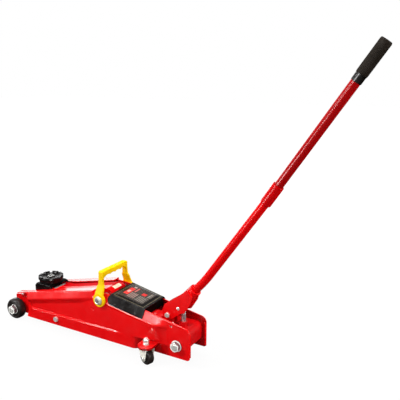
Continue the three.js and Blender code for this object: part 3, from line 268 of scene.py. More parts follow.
def slab(outline, low, high, edge=0.6):
    """Flat plate from a closed outline (x, y) carried from low to high, with its two rims rounded:
    the outline is drawn in by edge (1 - sin t) while it climbs by edge (1 - cos t)."""
    outline = np.asarray(outline, float)
    x, y = outline.T
    if (x * np.roll(y, -1) - y * np.roll(x, -1)).sum() < 0:
        outline = outline[::-1]
    t = np.linspace(0, math.pi / 2, 3)
    draw, climb = edge * (1 - np.sin(t)), edge * (1 - np.cos(t))
    rings = [np.column_stack([inset(outline, d, True), np.full(len(outline), low + c)])
             for d, c in zip(draw, climb)]
    rings += [np.column_stack([inset(outline, d, True), np.full(len(outline), high - c)])
              for d, c in zip(draw[::-1], climb[::-1])]
    return skin(np.array(rings))


def box(x0, x1, y0, y1, z0, z1, edge=0.5):
    """Block with rounded edges, from its two ends along each axis."""
    corners = [[x0, y0], [x1, y0], [x1, y1], [x0, y1]]
    return slab(soften(corners, edge, 2, closed=True), z0, z1, edge)


def arc(x, y, radius, start, end, steps=16):
    """Points on a circle from one angle to another, in degrees."""
    a = np.radians(np.linspace(start, end, steps + 1))
    return np.column_stack([x + radius * np.cos(a), y + radius * np.sin(a)])


def carried(path, section):
    """Grid of a section (u, v) carried along a path that runs in the jack's middle plane:
    P + u U + v Y, where Y points across the jack and U is square to it and to the heading."""
    heading = np.gradient(path, axis=0)
    heading /= np.linalg.norm(heading, axis=1, keepdims=True)
    up = np.cross(heading, ACROSS)
    up /= np.linalg.norm(up, axis=1, keepdims=True)
    return path[:, None] + section[:, :1] * up[:, None] + section[:, 1:] * ACROSS


def circle(radius, count):
    a = np.arange(count) * 2 * math.pi / count
    return radius * np.column_stack([np.cos(a), np.sin(a)])


# ---------- finishes ----------
class Field:
    """A value that varies over a surface. Arithmetic on it adds Math nodes to its tree."""
    def __init__(self, nodes, socket):
        self.nodes = nodes
        self.socket = socket

    def _math(self, operation, a, b):
        return self.nodes.node("ShaderNodeMath", {"operation": operation}, {0: a, 1: b})

    def __add__(self, other):
        return self._math("ADD", self, other)

    def __mul__(self, other):
        return self._math("MULTIPLY", self, other)

    def __sub__(self, other):
        return self._math("SUBTRACT", self, other)

    def __rsub__(self, other):
        return self._math("SUBTRACT", other, self)

    def __truediv__(self, other):
        return self._math("DIVIDE", self, other)

    __radd__ = __add__
    __rmul__ = __mul__

    def apply(self, operation, other=0.5):
        return self._math(operation, self, other)

    def ramp(self, low, high, start=0.0, end=1.0):
        """Rises smoothly from start to end while the value goes from low to high."""
        return self.nodes.node("ShaderNodeMapRange", {"interpolation_type": "SMOOTHSTEP"},
                               {"Value": self, 1: low, 2: high, 3: start, 4: end})


class Nodes:
    """The nodes of a material or of the surroundings."""
    def __init__(self, owner):
        owner.use_nodes = True
        self.tree = owner.node_tree

    def node(self, kind, settings, inputs, output=0):
        """Adds a node, applies its settings, then sets or links its inputs."""
        node = self.tree.nodes.new(kind)
        for setting, value in settings.items():
            setattr(node, setting, value)
        for socket, value in inputs.items():
            self.feed(node.inputs[socket], value)
        return Field(self, node.outputs[output])

    def feed(self, socket, value):
        if isinstance(value, Field):
            self.tree.links.new(value.socket, socket)
        else:
            socket.default_value = value

    def coordinate(self, kind):
        """Place of the shaded point (Object), its Normal, or the direction looked in (Generated)."""
        return self.node("ShaderNodeTexCoord", {}, {}, kind)

    def parts(self, vector):
        """The x, y and z of a vector."""
        split = self.node("ShaderNodeSeparateXYZ", {}, {"Vector": vector})
        return [Field(self, socket) for socket in split.socket.node.outputs]

    def rays(self):
        """1 where a ray comes from the camera, from a mirroring surface, or through glass."""
        kinds = self.node("ShaderNodeLightPath", {}, {}, "Is Camera Ray").socket.node.outputs
        return [Field(self, kinds[kind])
                for kind in ("Is Camera Ray", "Is Glossy Ray", "Is Transmission Ray")]


class Finish(Nodes):
    """A material built round one Principled shader."""
    def __init__(self, name, colour, roughness, metallic=0.0, **constants):
        self.material = bpy.data.materials.new(name)
        super().__init__(self.material)
        self.material.diffuse_color = (*linear(colour), 1)
        self.shader = self.tree.nodes["Principled BSDF"]
        self.set("Base Color", (*linear(colour), 1))
        self.set("Roughness", roughness)
        self.set("Metallic", metallic)
        for socket, value in constants.items():
            self.set(socket.replace("_", " "), value)
        self.place = self.coordinate("Object")

    def set(self, socket, value):
        self.feed(self.shader.inputs[socket], value)

    def noise(self, scale, detail=2.0, stretch=None):
        """Cloudy value between 0 and 1, with scale given in features for each metre."""
        place = self.place
        if stretch:
            place = self.node("ShaderNodeMapping", {}, {"Vector": place, "Scale": stretch})
        return self.node("ShaderNodeTexNoise", {}, {"Vector": place, "Scale": scale, "Detail": detail})

    def blend(self, share, a, b):
        """Colour a where share is 0 and colour b where it is 1."""
        def colour(c):
            return c if isinstance(c, Field) else (*linear(c), 1)
        mixed = self.node("ShaderNodeMix", {"data_type": "RGBA"}, {"Factor": share})
        ends = [s for s in mixed.socket.node.inputs if s.type == "RGBA"]
        for socket, value in zip(ends, (a, b)):
            self.feed(socket, colour(value))
        return Field(self, [s for s in mixed.socket.node.outputs if s.type == "RGBA"][0])

    def relief(self, height, distance, strength=1.0):
        self.set("Normal", self.node("ShaderNodeBump", {}, {
            "Height": height, "Distance": distance, "Strength": strength}))


def linear(colour):
    """The 0 to 255 colour of a swatch as linear light."""
    c = np.array(colour, float) / 255
    return tuple(np.where(c <= 0.04045, c / 12.92, ((c + 0.055) / 1.055) ** 2.4).tolist())


def inside(value, low, high, soft=0.4):
    """1 between low and high and 0 outside, over a soft edge in millimetres."""
    return value.ramp(low - soft, low + soft) * value.ramp(high - soft, high + soft, 1.0, 0.0)


ORANGE_PEEL = 0.08


def enamel(name, colour, deep, gloss=0.2, level=0.3, marks=None, dents=None, peel=0.5, dull=None):
    """Sprayed enamel: slight orange peel, a slow drift in tone, and a clear gloss. marks paints over
    it, dents adds a height in millimetres and dull adds roughness, all from the place (x, y, z) in
    the jack's sizes. peel is the depth of the orange peel as a share of the usual."""
    finish = Finish(name, colour, gloss, Specular_IOR_Level=level)
    drift = finish.noise(14, 3)
    paint = finish.blend(drift.ramp(0.35, 0.75, 0.0, 0.35), colour, deep)
    x, y, z = (axis * 1000 for axis in finish.parts(finish.place))
    place = (x - AXLE_X, y, z)
    finish.set("Base Color", marks(finish, paint, *place) if marks else paint)
    if peel:
        rough = finish.noise(60, 3).ramp(0.3, 0.7, gloss - 0.03, gloss + 0.07)
        finish.set("Roughness", rough + dull(finish, *place) if dull else rough)
        height = (finish.noise(420, 1) * 0.7 + finish.noise(1500, 2) * 0.3) * ORANGE_PEEL * peel
        finish.relief(height + dents(*place) if dents else height, 0.001)
    return finish


def arm_label_and_shade(finish, paint, x, y, z):
    """Small pale label stuck across the arm's top behind the shaft, with two faint bars on it. The arm's
    right half is painted a darker red as painted shade."""
    # painted shade: darker red over the arm's right half
    paint = finish.blend(y.ramp(-1, 2), paint, (188, 0, 8))
    label = inside(x, 308, 318) * inside(y, -10, 17) * z.ramp(136, 137)
    bars = inside((x - 308).apply("PINGPONG", 2.5), 1.2, 2.2, 0.3) * inside(y, -6, 13, 1.5)
    return finish.blend(label, paint, finish.blend(bars * 0.6, (236, 222, 194), (150, 96, 84)))


def arm_lean(x, y, z):
    """Height by which the lift arm's top leans up to the right, more steeply past its middle."""
    return y.apply("MAXIMUM", 0) * 0.5 + y.apply("MINIMUM", 0) * 0.1


def cover_print(finish, paint, x, y, z):
    """Generic panel printed on the cover: a grey field that carries two red blocks, pale bars and a
    speckled block, and no words. Round it a thin pale gold line is painted near the edges of the top."""
    def block(x0, x1, y0, y1, soft=0.5):
        return inside(x, x0, x1, soft) * inside(y, y0, y1, soft)
    top = z.ramp(120, 122)
    edge = block(339, 427, -40.4, 40.4, 0.3) - block(340.4, 425.6, -39, 39, 0.3)
    field = block(348, 417, -31, 32, 0.6)
    grain = finish.noise(300, 3, (1, 2.2, 1)).ramp(0.42, 0.62)
    lines = inside((x - 348).apply("PINGPONG", 2.6), 1.2, 2.4, 0.4)
    print_colour = finish.blend(grain, (40, 35, 32), (74, 66, 59))
    for share, colour in ((block(349, 362, -17, 20, 0.7), (214, 52, 48)),
                          (block(351, 358, -5, 6, 1.5) * 0.8, (226, 180, 172)),
                          (block(388, 400, 5, 17, 0.8), (196, 44, 42)),
                          (block(364, 384, -24, 2) * lines * 0.8, (170, 138, 128)),
                          (block(353, 361, 23, 29), (176, 156, 146)),
                          (block(366, 370, 6, 28), (184, 96, 88)),
                          (block(388, 413, -26, 0) * lines * 0.7, (150, 142, 132)),
                          (block(404, 413, 4, 27) * lines * 0.8, (160, 152, 142))):
        print_colour = finish.blend(share, print_colour, colour)
    printed = finish.blend(field, paint, print_colour)
    return finish.blend((edge * 0.8) * top, finish.blend(top, paint, printed), (118, 108, 82))


def inner_face_and_pocket_shade(finish, paint, x, y, z):
    """Painted shade: the inner face of a side plate, where its normal points to the jack's middle, is
    painted a darker red, less so towards the tail. The pocket over the caster is painted darker too."""
    # painted shade on the faces that point inwards, and in the pocket over the caster
    facing = finish.parts(finish.coordinate("Normal"))[1] * y
    inner = finish.blend(x.ramp(300, 450), (204, 4, 7), (128, 0, 3))
    inner = finish.blend(x.ramp(490, TAIL_X), inner, (176, 2, 6))
    pocket_shade = inside(x, 412, 500, 6) * z.ramp(44, 50, 0.7, 0.0)
    paint = finish.blend(pocket_shade, paint, (150, 0, 2))
    return finish.blend(facing.ramp(-30, -8, 0.95, 0.0), paint, inner)


def rear_slope(finish, x, y, z):
    """Extra roughness of the sloping strip behind the cover, where its normal points upwards."""
    upward = finish.parts(finish.coordinate("Normal"))[2]
    return inside(x, 430, 530, 6) * upward.ramp(0.3, 0.5, 0.0, 0.12)


def carry_dent(x, y, z):
    """Oblong dimple pressed into each side plate under the carry handle's eye, 1 mm deep."""
    across, up = (x - 277) / 6.5, (z - 92.3) / 3.4
    return (across * across + up * up).ramp(0.2, 1.1, -1.0, 0.0)


def cast_iron():
    """Black cast iron: coarse sand grain, with brighter rubbed high spots."""
    finish = Finish("black_cast_iron", (12, 10, 10), 0.3, 0.0, Specular_IOR_Level=0.2)
    grain = finish.noise(900, 4) * 0.6 + finish.noise(260, 3) * 0.4
    finish.set("Base Color", finish.blend(grain.ramp(0.6, 0.8), (12, 10, 10), (26, 22, 21)))
    finish.set("Roughness", grain.ramp(0.35, 0.7, 0.2, 0.38))
    finish.relief(grain, 0.0002, 0.5)
    return finish


def plated(name, colour, tint, roughness, metal, flank_shade=None):
    """Bright zinc plate: metal with a faint drift of tint and fine rolled streaks. The flank colour,
    where given, is painted on the faces that don't point across the jack, such as the sides of a nut:
    painted shade, with a painted reflection of the red paint round them."""
    finish = Finish(name, colour, roughness, metal)
    plate = finish.blend(finish.noise(180, 3).ramp(0.35, 0.7), colour, tint)
    if flank_shade:
        facing = finish.parts(finish.coordinate("Normal"))[1]
        plate = finish.blend(facing.apply("ABSOLUTE").ramp(0.35, 0.7), flank_shade, plate)
    finish.set("Base Color", plate)
    finish.set("Roughness", finish.noise(500, 3).ramp(0.3, 0.7, roughness - 0.08, roughness + 0.1))
    finish.relief(finish.noise(1600, 2), 0.00005, 0.5)
    return finish


def moulded(name, colour, worn, roughness, grain, depth, level):
    """Moulded plastic or rubber: fine pebbled skin and a slow drift towards a dustier tone. grain
    is in pebbles for each metre and depth is theirs in metres."""
    finish = Finish(name, colour, roughness, 0.0, Specular_IOR_Level=level)
    finish.set("Base Color", finish.blend(finish.noise(40, 4).ramp(0.4, 0.8), colour, worn))
    finish.set("Roughness", finish.noise(90, 3).ramp(0.3, 0.7, roughness - 0.06, roughness + 0.08))
    if depth:
        finish.relief(finish.noise(grain, 2), depth, 0.5)
    return finish


red = enamel("red_enamel", (236, 8, 12), (206, 2, 7), 0.16, 0.32)
plate_red = enamel("side_plate_enamel", (236, 10, 14), (216, 3, 8), 0.16, 0.45, inner_face_and_pocket_shade,
                   carry_dent, 0.25, rear_slope)
arm_red = enamel("lift_arm_enamel", (226, 8, 12), (200, 3, 8), 0.16, 0.09, arm_label_and_shade, arm_lean, 0.25)
# The three handle reds are darker copies of the red enamel, the upper tube darkest: painted shade for how
# light falls on the handle.
lower_tube_painted_shade = enamel("lower_tube_enamel_painted_shade", (216, 0, 3), (200, 0, 3), 0.24, 0.05, peel=0.0)
upper_tube_painted_shade = enamel("upper_tube_enamel_painted_shade", (160, 0, 2), (150, 0, 2), 0.22, 0.1, peel=0.0)
coupler_painted_shade = enamel("coupler_enamel_painted_shade", (194, 0, 4), (182, 0, 3), 0.2, 0.06, peel=0.0)
# darker red copy of the enamel for the pump block: painted shade
power_unit_painted_shade = enamel("power_unit_enamel_painted_shade", (206, 3, 8), (180, 0, 5), 0.34, 0.2)
black = enamel("black_enamel", (12, 8, 8), (8, 5, 5), 0.18, 0.12, peel=0.25)
cover_black = enamel("cover_enamel", (15, 11, 10), (9, 7, 6), 0.22, 0.18, cover_print, peel=0.25)
# darker, duller copy of the cover's black for the wall across its open back: painted shade
cover_wall_painted_shade = enamel("shaded_cover_enamel", (6, 4, 4), (4, 2, 2), 0.5, 0.05, peel=0.2)
zinc = plated("zinc_plate", (240, 240, 232), (222, 223, 218), 0.16, 0.45)
# painted highlight: near-white and barely metallic, so a nut's faces render bright white; painted shade
# on its flanks
nut_zinc_painted_light = plated("zinc_nut_painted_light", (255, 255, 250), (248, 248, 243), 0.3, 0.05, (112, 88, 90))
steel = plated("bare_steel", (190, 190, 186), (160, 158, 152), 0.22, 0.7)
chrome = plated("polished_rod", (226, 226, 226), (210, 210, 210), 0.15, 0.75)
yoke_zinc = plated("pale_zinc_yoke", (248, 248, 236), (238, 237, 224), 0.4, 0.1)
nylon = moulded("wheel_nylon", (30, 24, 22), (44, 37, 34), 0.36, 500, 0.0002, 0.28)
rubber = moulded("grip_rubber", (30, 24, 18), (38, 31, 26), 0.62, 900, 0.0002, 0.05)
collar_black = moulded("grip_collar", (14, 11, 9), (20, 16, 14), 0.26, 300, 0, 0.25)
yellow = moulded("yellow_plastic", (246, 200, 0), (238, 190, 0), 0.5, 600, 0.0001, 0.06)
iron = cast_iron()


# ---------- pieces ----------
def object_from(name, mesh, finish, sharp=32):
    """Piece that shades smooth except at edges that turn by more than sharp, in degrees."""
    mesh.shade_smooth()
    mesh.set_sharp_from_angle(angle=math.radians(sharp))
    mesh.materials.clear()
    mesh.materials.append(finish.material)
    obj = bpy.data.objects.new(name, mesh)
    bpy.context.scene.collection.objects.link(obj)
    return obj


def mesh_from(name, shell):
    """A mesh in metres, its doubled points joined and its faces turned outwards."""
    mesh = bpy.data.meshes.new(name)
    mesh.from_pydata(((shell.points + [AXLE_X, 0, 0]) / 1000).tolist(), [], shell.faces)
    work = bmesh.new()
    work.from_mesh(mesh)
    bmesh.ops.remove_doubles(work, verts=work.verts, dist=2e-6)
    bmesh.ops.recalc_face_normals(work, faces=work.faces)
    work.to_mesh(mesh)
    work.free()
    return mesh


def bevel(obj, width, segments):
    """Rounds every edge of a piece that turns by more than 35 degrees."""
    rounding = obj.modifiers.new("edge", "BEVEL")
    rounding.width = width / 1000
    rounding.segments = segments
    rounding.limit_method = "ANGLE"
    rounding.angle_limit = math.radians(35)
    rounding.harden_normals = True
    return obj


def carve(obj, *cutters):
    """Cuts closed shells out of a piece and keeps the result as its mesh."""
    tools = []
    for i, shell in enumerate(cutters):
        tool = bpy.data.objects.new(f"cutter_{i}", mesh_from("cutter", shell))
        bpy.context.scene.collection.objects.link(tool)
        cut = obj.modifiers.new("cut", "BOOLEAN")
        cut.operation, cut.solver, cut.object = "DIFFERENCE", "EXACT", tool
        cut.use_self = True
        tools.append(tool)
    bpy.context.view_layer.update()
    shaped = obj.evaluated_get(bpy.context.evaluated_depsgraph_get())
    mesh = bpy.data.meshes.new_from_object(shaped)
    obj.modifiers.clear()
    obj.data = mesh
    for tool in tools:
        bpy.data.objects.remove(tool)
    return obj


def settle(obj, finish, *nodes, body=None):
    """Sets a piece on its body in place of its frame nodes, and hides those nodes. finish is not used."""
    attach(obj, body or NODES[nodes[0]]["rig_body"])
    if nodes:
        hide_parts(*nodes)
    return obj


def make(name, shell, finish, *nodes, body=None, sharp=32):
    """A finished piece from a shell, in place of its frame nodes."""
    return settle(object_from(name, mesh_from(name, shell), finish, sharp), finish, *nodes, body=body)


def eased(node, finish, width=0.8, segments=2, folds=None, fold_radius=5):
    """The frame's own solid with its triangles joined, its flat faces made whole and its edges
    rounded. folds picks the long edges, by their two ends, that get a wider bend."""
    source = NODES[node].data
    work = bmesh.new()
    points = np.empty(len(source.vertices) * 3)
    source.vertices.foreach_get("co", points)
    corners = [work.verts.new(p) for p in points.reshape(-1, 3).tolist()]
    work.verts.ensure_lookup_table()
    for polygon in source.polygons:
        work.faces.new([corners[i] for i in polygon.vertices])
    bmesh.ops.remove_doubles(work, verts=work.verts, dist=5e-6)
    bmesh.ops.dissolve_limit(work, angle_limit=math.radians(1.2), verts=work.verts, edges=work.edges)
    if folds:
        def ends(edge):
            return [np.array(v.co) * 1000 - [AXLE_X, 0, 0] for v in edge.verts]
        chosen = [e for e in work.edges if e.calc_face_angle(0) > 0.5 and folds(*ends(e))]
        bmesh.ops.bevel(work, geom=chosen, offset=fold_radius / 1000, segments=4, profile=0.5,
                        affect="EDGES", clamp_overlap=True)
    mesh = bpy.data.meshes.new(node)
    work.to_mesh(mesh)
    work.free()
    obj = object_from(node + "_eased", mesh, finish)
    bevel(obj, width, segments)
    return settle(obj, finish, node)


def both(maker):
    """Runs a maker for the left side (y below 0) and the right."""
    for side, sign in (("left", -1), ("right", 1)):
        maker(side, sign)


# ---------- side plates ----------
TOP_SLOPE = (PEAK_Z - FLANGE_Z) / (PEAK_X - FLANGE_X)
BOTTOM = [(NOSE_X, 25), (NOSE_X + 3, 17), (NOSE_X + 12, 13), (TAIL_X - 4, TAIL_FOOT), (TAIL_X, 25)]
BAND_TOP = [(PEAK_X, BAND_Y), (COVER_REAR, TAIL_Y)]
REAR_EDGE = [(PEAK_X, 139.5), (327, 138), (COVER_FRONT, 129.2), (COVER_REAR, 120),
             (TAIL_X - 10, TAIL_TOP), (TAIL_X, TAIL_TOP - 1)]
OUTER_BEND = [(PEAK_X, 122), (TAIL_X, 84)]
CREASE = [(ARCH_X, 44), (400, 53)]
TAIL_ROUND, FLANGE_SPREAD, LIP_WIDTH = 13, 5.5, 8


def out_of_arch(x, z):
    """0 in the narrow nose beside the wheel, 1 in the wide middle, along a curved front."""
    below = z < ARCH_RISE
    end = ARCH_X - ((z - ARCH_RISE) / 35) ** 2 * np.where(below, 27, 32)
    ramp = ARCH_RAMP - np.where(below, (ARCH_RISE - z) / 4, 0)
    return ease((x - end + ramp) / ramp)


def bent(share):
    """0 to 1 in a straight line, with a parabola over the start and another over the end."""
    start, end = 0.4, 0.15
    t = np.clip(share, 0, 1)
    slope = 1 / (1 - start / 2 - end / 2)
    rising = np.where(t < start, t * t / (2 * start), t - start / 2) * slope
    return np.where(t > 1 - end, 1 - (1 - t) ** 2 / (2 * end) * slope, rising)


def into_tail(x, z):
    """0 in the wide middle, 1 in the narrow tail; the pocket over the caster starts sooner."""
    low = z < SHELF_Z
    start = np.where(low, POCKET_X, mix(WAIST_LOW_X, WAIST_HIGH_X, ease((z - 78) / 16)))
    end = np.where(low, POCKET_X + POCKET_RAMP, WAIST_END_X + np.maximum(z - 53, 0) * 0.45)
    return bent((x - start) / (end - start))


def rear_edge(x):
    """Upper edge behind the peak, rounded down to the tail by a quarter circle."""
    past = np.clip(x - (TAIL_X - TAIL_ROUND), 0, TAIL_ROUND)
    return along(REAR_EDGE, x) - TAIL_ROUND + np.sqrt(TAIL_ROUND ** 2 - past ** 2)


def plate_line(x):
    """Outer face of a side plate at each x, as (y, z): the end of the top flange, its corner, the
    fold, the foot of the face below the fold, the crease, the face below it, and the foot. The
    flange widens behind the saddle bracket, and behind the peak only its bent edge is left."""
    behind = x > PEAK_X
    recess = 1 - ease((x - 222) / 55)
    crease = 1 - ease((x - 340) / 60)

    def wide(y, z):
        middle = mix(NOSE_Y, y, out_of_arch(x, z))
        return mix(middle, np.minimum(y, TAIL_Y), into_tail(x, z))
    foot = along(BOTTOM, x)
    ledge = np.where(x < POCKET_X, along(CREASE, x), SHELF_Z)
    lower = ledge - SHELF_DROP
    top = np.where(behind, rear_edge(x), FLANGE_Z + (x - FLANGE_X) * TOP_SLOPE)
    fold = np.where(behind, np.minimum(along(OUTER_BEND, x), top - 4), top - FOLD_DROP)
    top_y = np.where(behind, along(BAND_TOP, x), wide(FLANGE_Y, top))
    fold_y = wide(mix(RIM_Y, BULGE_Y, recess), fold)
    fold_y = np.where(behind, np.maximum(fold_y, top_y), fold_y)
    panel = np.minimum(mix(RIM_Y, RECESS_Y, recess), RIM_Y - 1.5 * crease)
    under = fold - mix(6, FOLD_DEPTH, recess)
    flange_end = FLANGE_Y - FLANGE_WIDTH - FLANGE_SPREAD * ease((x - 110) / 40)
    y = [np.where(behind, top_y - 3.2, flange_end), top_y, fold_y, wide(panel, under),
         wide(mix(RIM_Y, panel, crease), ledge), wide(RIM_Y, lower), wide(RIM_Y, foot)]
    z = [top, top, fold, under, ledge, lower, foot]
    return np.stack([np.stack(y, -1), np.stack(z, -1)], -1)


def nose_line(x):
    """Outer face of the nose beside the wheel, from its top edge down to its foot."""
    top = along([(NOSE_X, 61.5), (NOSE_X + 1.5, 63.5), (NOSE_X + 4, 64), (NOSE_X + 14, 66)], x)
    foot = along(BOTTOM, x)
    z = mix(top[:, None], foot[:, None], np.linspace(0, 1, 12)[None, :])
    return np.stack([mix(NOSE_Y, RIM_Y, out_of_arch(x[:, None], z)), z], -1)


def pinned(line):
    """The section with two more points, 1/8 from each end, on every straight run over 3 mm long, so
    that the flat faces shade flat right up to their bends."""
    step = np.diff(line, axis=1)
    long = np.linalg.norm(step, axis=-1).max(0) > 3
    parts = []
    for i in range(step.shape[1]):
        shares = [0, 1 / 8, 7 / 8] if long[i] else [0]
        parts += [line[:, i:i + 1] + step[:, i:i + 1] * share for share in shares]
    return np.concatenate(parts + [line[:, -1:]], 1)


def press(x, line, sheet=PLATE):
    """Skin of a folded sheet: the section (y, z) at each x, thickened inwards."""
    ring = thicken(pinned(line), -sheet)
    rows = np.concatenate([np.broadcast_to(x[:, None, None], (*ring.shape[:2], 1)), ring], -1)
    return skin(rows)


def ear():
    """Half-round plate over the caster with a skirt round its edge."""
    x, y = CASTER
    shape = np.vstack([[[x + EAR_RADIUS, TAIL_Y - 1.5]], arc(x, y, EAR_RADIUS, 0, 180, 40),
                       [[x - EAR_RADIUS, TAIL_Y - 1.5]]])
    return slab(shape, EAR_SKIRT, EAR_TOP, 1.0)


def ear_room():
    """What is cut out of an ear: its hollow, two slots in its skirt and the stem's hole."""
    x, y = CASTER
    reach = EAR_RADIUS - 2.4
    shape = np.vstack([[[x + reach, TAIL_Y]], arc(x, y, reach, 0, 180, 32), [[x - reach, TAIL_Y]]])
    room = [slab(shape, EAR_SKIRT - 2, EAR_FOOT, 0.4)]
    for turn in (-24, 24):
        a = math.radians(turn)
        slot = box(-4.4, 4.4, EAR_RADIUS - 4.5, EAR_RADIUS + 3, -1.5, 1.7, 0.8)
        room.append(slot.placed((x, y, EAR_FOOT + 0.4), (0, 0, 1), (math.cos(a), math.sin(a), 0)))
    room.append(rod(4.3, 30, 70).placed((x, y, 0), (0, 0, 1)))
    return room


def tongue():
    """Front end of the top flange, over the nose."""
    tip, tip_z = FLANGE_X - 8, FLANGE_Z - 8 * TOP_SLOPE
    root, root_z = NOSE_END + 1, FLANGE_Z + (NOSE_END + 1 - FLANGE_X) * TOP_SLOPE
    outline = [[tip, -tip_z], [root, -root_z], [root, PLATE - root_z], [tip, PLATE - tip_z]]
    shell = slab(outline, FLANGE_Y - FLANGE_WIDTH, FLANGE_Y - 0.6, 0.5)
    return shell.placed((0, 0, 0), ACROSS, (1, 0, 0))


def side_plate(side, sign):
    """Pressed plate with its nose, tongue, tail lip and caster ear. Only the left has a hole."""
    def sided(shell):
        return shell.mirrored() if sign < 0 else shell
    front = np.concatenate([np.arange(NOSE_END, 76, 1.6), np.arange(76, PEAK_X, 4.5), [PEAK_X]])
    rear = np.concatenate([[PEAK_X + 0.5], np.arange(286, 324, 6), np.linspace(325, 336, 12),
                           np.arange(342, POCKET_X - 4, 6), np.arange(POCKET_X - 2, 538, 2.5),
                           TAIL_X - TAIL_ROUND + TAIL_ROUND * np.sin(np.linspace(0, math.pi / 2, 12))])
    x = np.concatenate([front, rear])
    setback = np.tile([0, 2.5, 2.5, 3, 0.6, 0.6, 0], (len(x), 1))
    setback[:, 2] = np.where(x > PEAK_X, 4.5, 2.5)
    body = press(x, soften(plate_line(x), setback, 5))
    nose_x = np.linspace(NOSE_X, NOSE_END, 24)
    lip = box(TAIL_X - PLATE, TAIL_X - 0.05, TAIL_Y - LIP_WIDTH, TAIL_Y - PLATE + 0.5, TAIL_FOOT + 6,
              TAIL_TOP - 14)
    ends = press(nose_x, nose_line(nose_x)) + tongue() + lip
    name = f"{side}_side_plate"
    plate = object_from(name, mesh_from(name, sided(body)), plate_red, 28)
    if sign < 0:
        carve(plate, rod(3.6, 20, 60).placed((TAIL_X - 51, 0, TAIL_TOP - 4.5)).mirrored())
    ends = object_from(name + "_ends", mesh_from(name, sided(ends)), plate_red)
    bracket = object_from(name + "_ear", mesh_from(name, sided(ear())), plate_red)
    carve(bracket, *[sided(cutter) for cutter in ear_room()])
    join([plate, ends, bracket])
    settle(plate, plate_red, f"side_plate_{side}")


def join(objects):
    """Adds the meshes of the later objects to the first."""
    work = bmesh.new()
    for obj in objects:
        work.from_mesh(obj.data)
    work.to_mesh(objects[0].data)
    work.free()
    for obj in objects[1:]:
        bpy.data.objects.remove(obj)
    objects[0].data.shade_smooth()
    objects[0].data.set_sharp_from_angle(angle=math.radians(28))
    return objects[0]


both(side_plate)

# ---------- axle, wheels, cross tubes and bolts ----------
WHEEL_RADIUS, WHEEL_IN, WHEEL_OUT, HUB_FLOOR, AXLE_END = 28.5, 42.8, 65.8, 60.8, 75.1
AXLE_RADIUS, AXLE_BORE = 7, 7.3
AXLE = (0, 0, WHEEL_RADIUS)
TIE = (152, 0, 33)


def across_at(shell, place, sign=1):
    """Stands a shell's axis across the jack at (x, z), pointing out on the side of the sign."""
    return shell.placed((place[0], 0, place[-1]), (0, sign, 0), (1, 0, 0))


make("axle_tube", across_at(tube(10, AXLE_BORE, -36.7, 36.7), AXLE), red, "axle_spacer")
make("tie_spacer", across_at(tube(7.5, 4.3, -50.7, 50.7), TIE), red, "tie_tube")
axle = across_at(rod(AXLE_RADIUS, -62, 62), AXLE)
for end in (-1, 1):
    axle += across_at(threaded(AXLE_RADIUS, 60, AXLE_END, 1.75), AXLE, end)
    axle += across_at(rod(11, NOSE_Y + 0.3, WHEEL_IN - 0.3, 0.5), AXLE, end)
make("axle_rod", axle, zinc, "front_axle")
tie = across_at(rod(4, -55, 56), TIE) + across_at(hex_head(13, 54.3, 59.3), TIE, -1)
make("tie_rod", tie + across_at(threaded(4, 55, 60.3, 1.0), TIE), zinc, "tie_bolt", sharp=24)
make("tie_rod_nut", across_at(hex_nut(13, 54.3, 59.3, 4.2), TIE), zinc, "tie_nut", sharp=24)


def front_wheel(side, sign):
    """Wheel with a groove in its outer face and a hub sunk round the nut, and the nut."""
    corners = [[AXLE_BORE, WHEEL_IN], [24, WHEEL_IN], [WHEEL_RADIUS, WHEEL_IN + 4],
               [WHEEL_RADIUS, WHEEL_OUT - 4.5], [25, WHEEL_OUT], [21.4, WHEEL_OUT],
               [20.7, WHEEL_OUT - 0.8], [19.6, WHEEL_OUT - 0.8], [18.9, WHEEL_OUT], [16.2, WHEEL_OUT],
               [14.6, HUB_FLOOR], [AXLE_BORE, HUB_FLOOR]]
    setback = [0.5, 1.5, 3, 3, 2, 0.4, 0.3, 0.3, 0.4, 0.7, 0.6, 0.5]
    profile = soften(corners, setback, 4, closed=True)
    make(f"{side}_front_wheel", across_at(lathe(profile, 96, ring=True), AXLE, sign), nylon,
         f"front_wheel_{side}")
    nut = tube(13.5, AXLE_BORE, 61.1, 63.1, 0.4) + hex_nut(22, 63.1, 73.1, AXLE_RADIUS)
    make(f"{side}_axle_nut", across_at(nut, AXLE, sign), nut_zinc_painted_light, f"axle_nut_{side}", sharp=24)


both(front_wheel)

FRAME_BOLT = (522, 0, 53)
bolt = across_at(rod(8, -44, 44), FRAME_BOLT)
for end in (-1, 1):
    bolt += across_at(threaded(8, 42, 54.3, 2.0), FRAME_BOLT, end)
make("rear_through_bolt", bolt, zinc, "frame_bolt")


def frame_nut(side, sign):
    """Washer and nut on the end of the rear bolt."""
    nut = tube(13.8, 8.3, 41.3, 43.3, 0.4) + hex_nut(21.5, 43.3, 52.3, 8)
    make(f"{side}_rear_nut", across_at(nut, FRAME_BOLT, sign), nut_zinc_painted_light, f"frame_bolt_nut_{side}",
         sharp=24)


both(frame_nut)

# ---------- lift arm, link, shaft and saddle ----------
shaft = across_at(rod(9, -40.9, 40.9), SHAFT) + across_at(rod(6, -60, 60), SHAFT)
for end in (-1, 1):
    shaft += across_at(threaded(6, 59, 66.6, 1.5), SHAFT, end)
make("arm_shaft", shaft, steel, "pivot_shaft")


def arm_folds(a, b):
    """The long edges of the arm's top, where the channel is folded down."""
    return min(abs(a[1]), abs(b[1])) > 27.9 and min(a[2], b[2]) > 101.5 and abs(a[0] - b[0]) > 1.2


def bracket_folds(a, b):
    """The upper edges of the saddle bracket, along its cheeks and across its front."""
    return min(a[2], b[2]) > 109.9 and (min(abs(a[1]), abs(b[1])) > 32 or max(a[0], b[0]) < 63)


eased("lift_arm", arm_red, folds=arm_folds, fold_radius=7)
eased("levelling_link", steel)
eased("link_anchor", red)


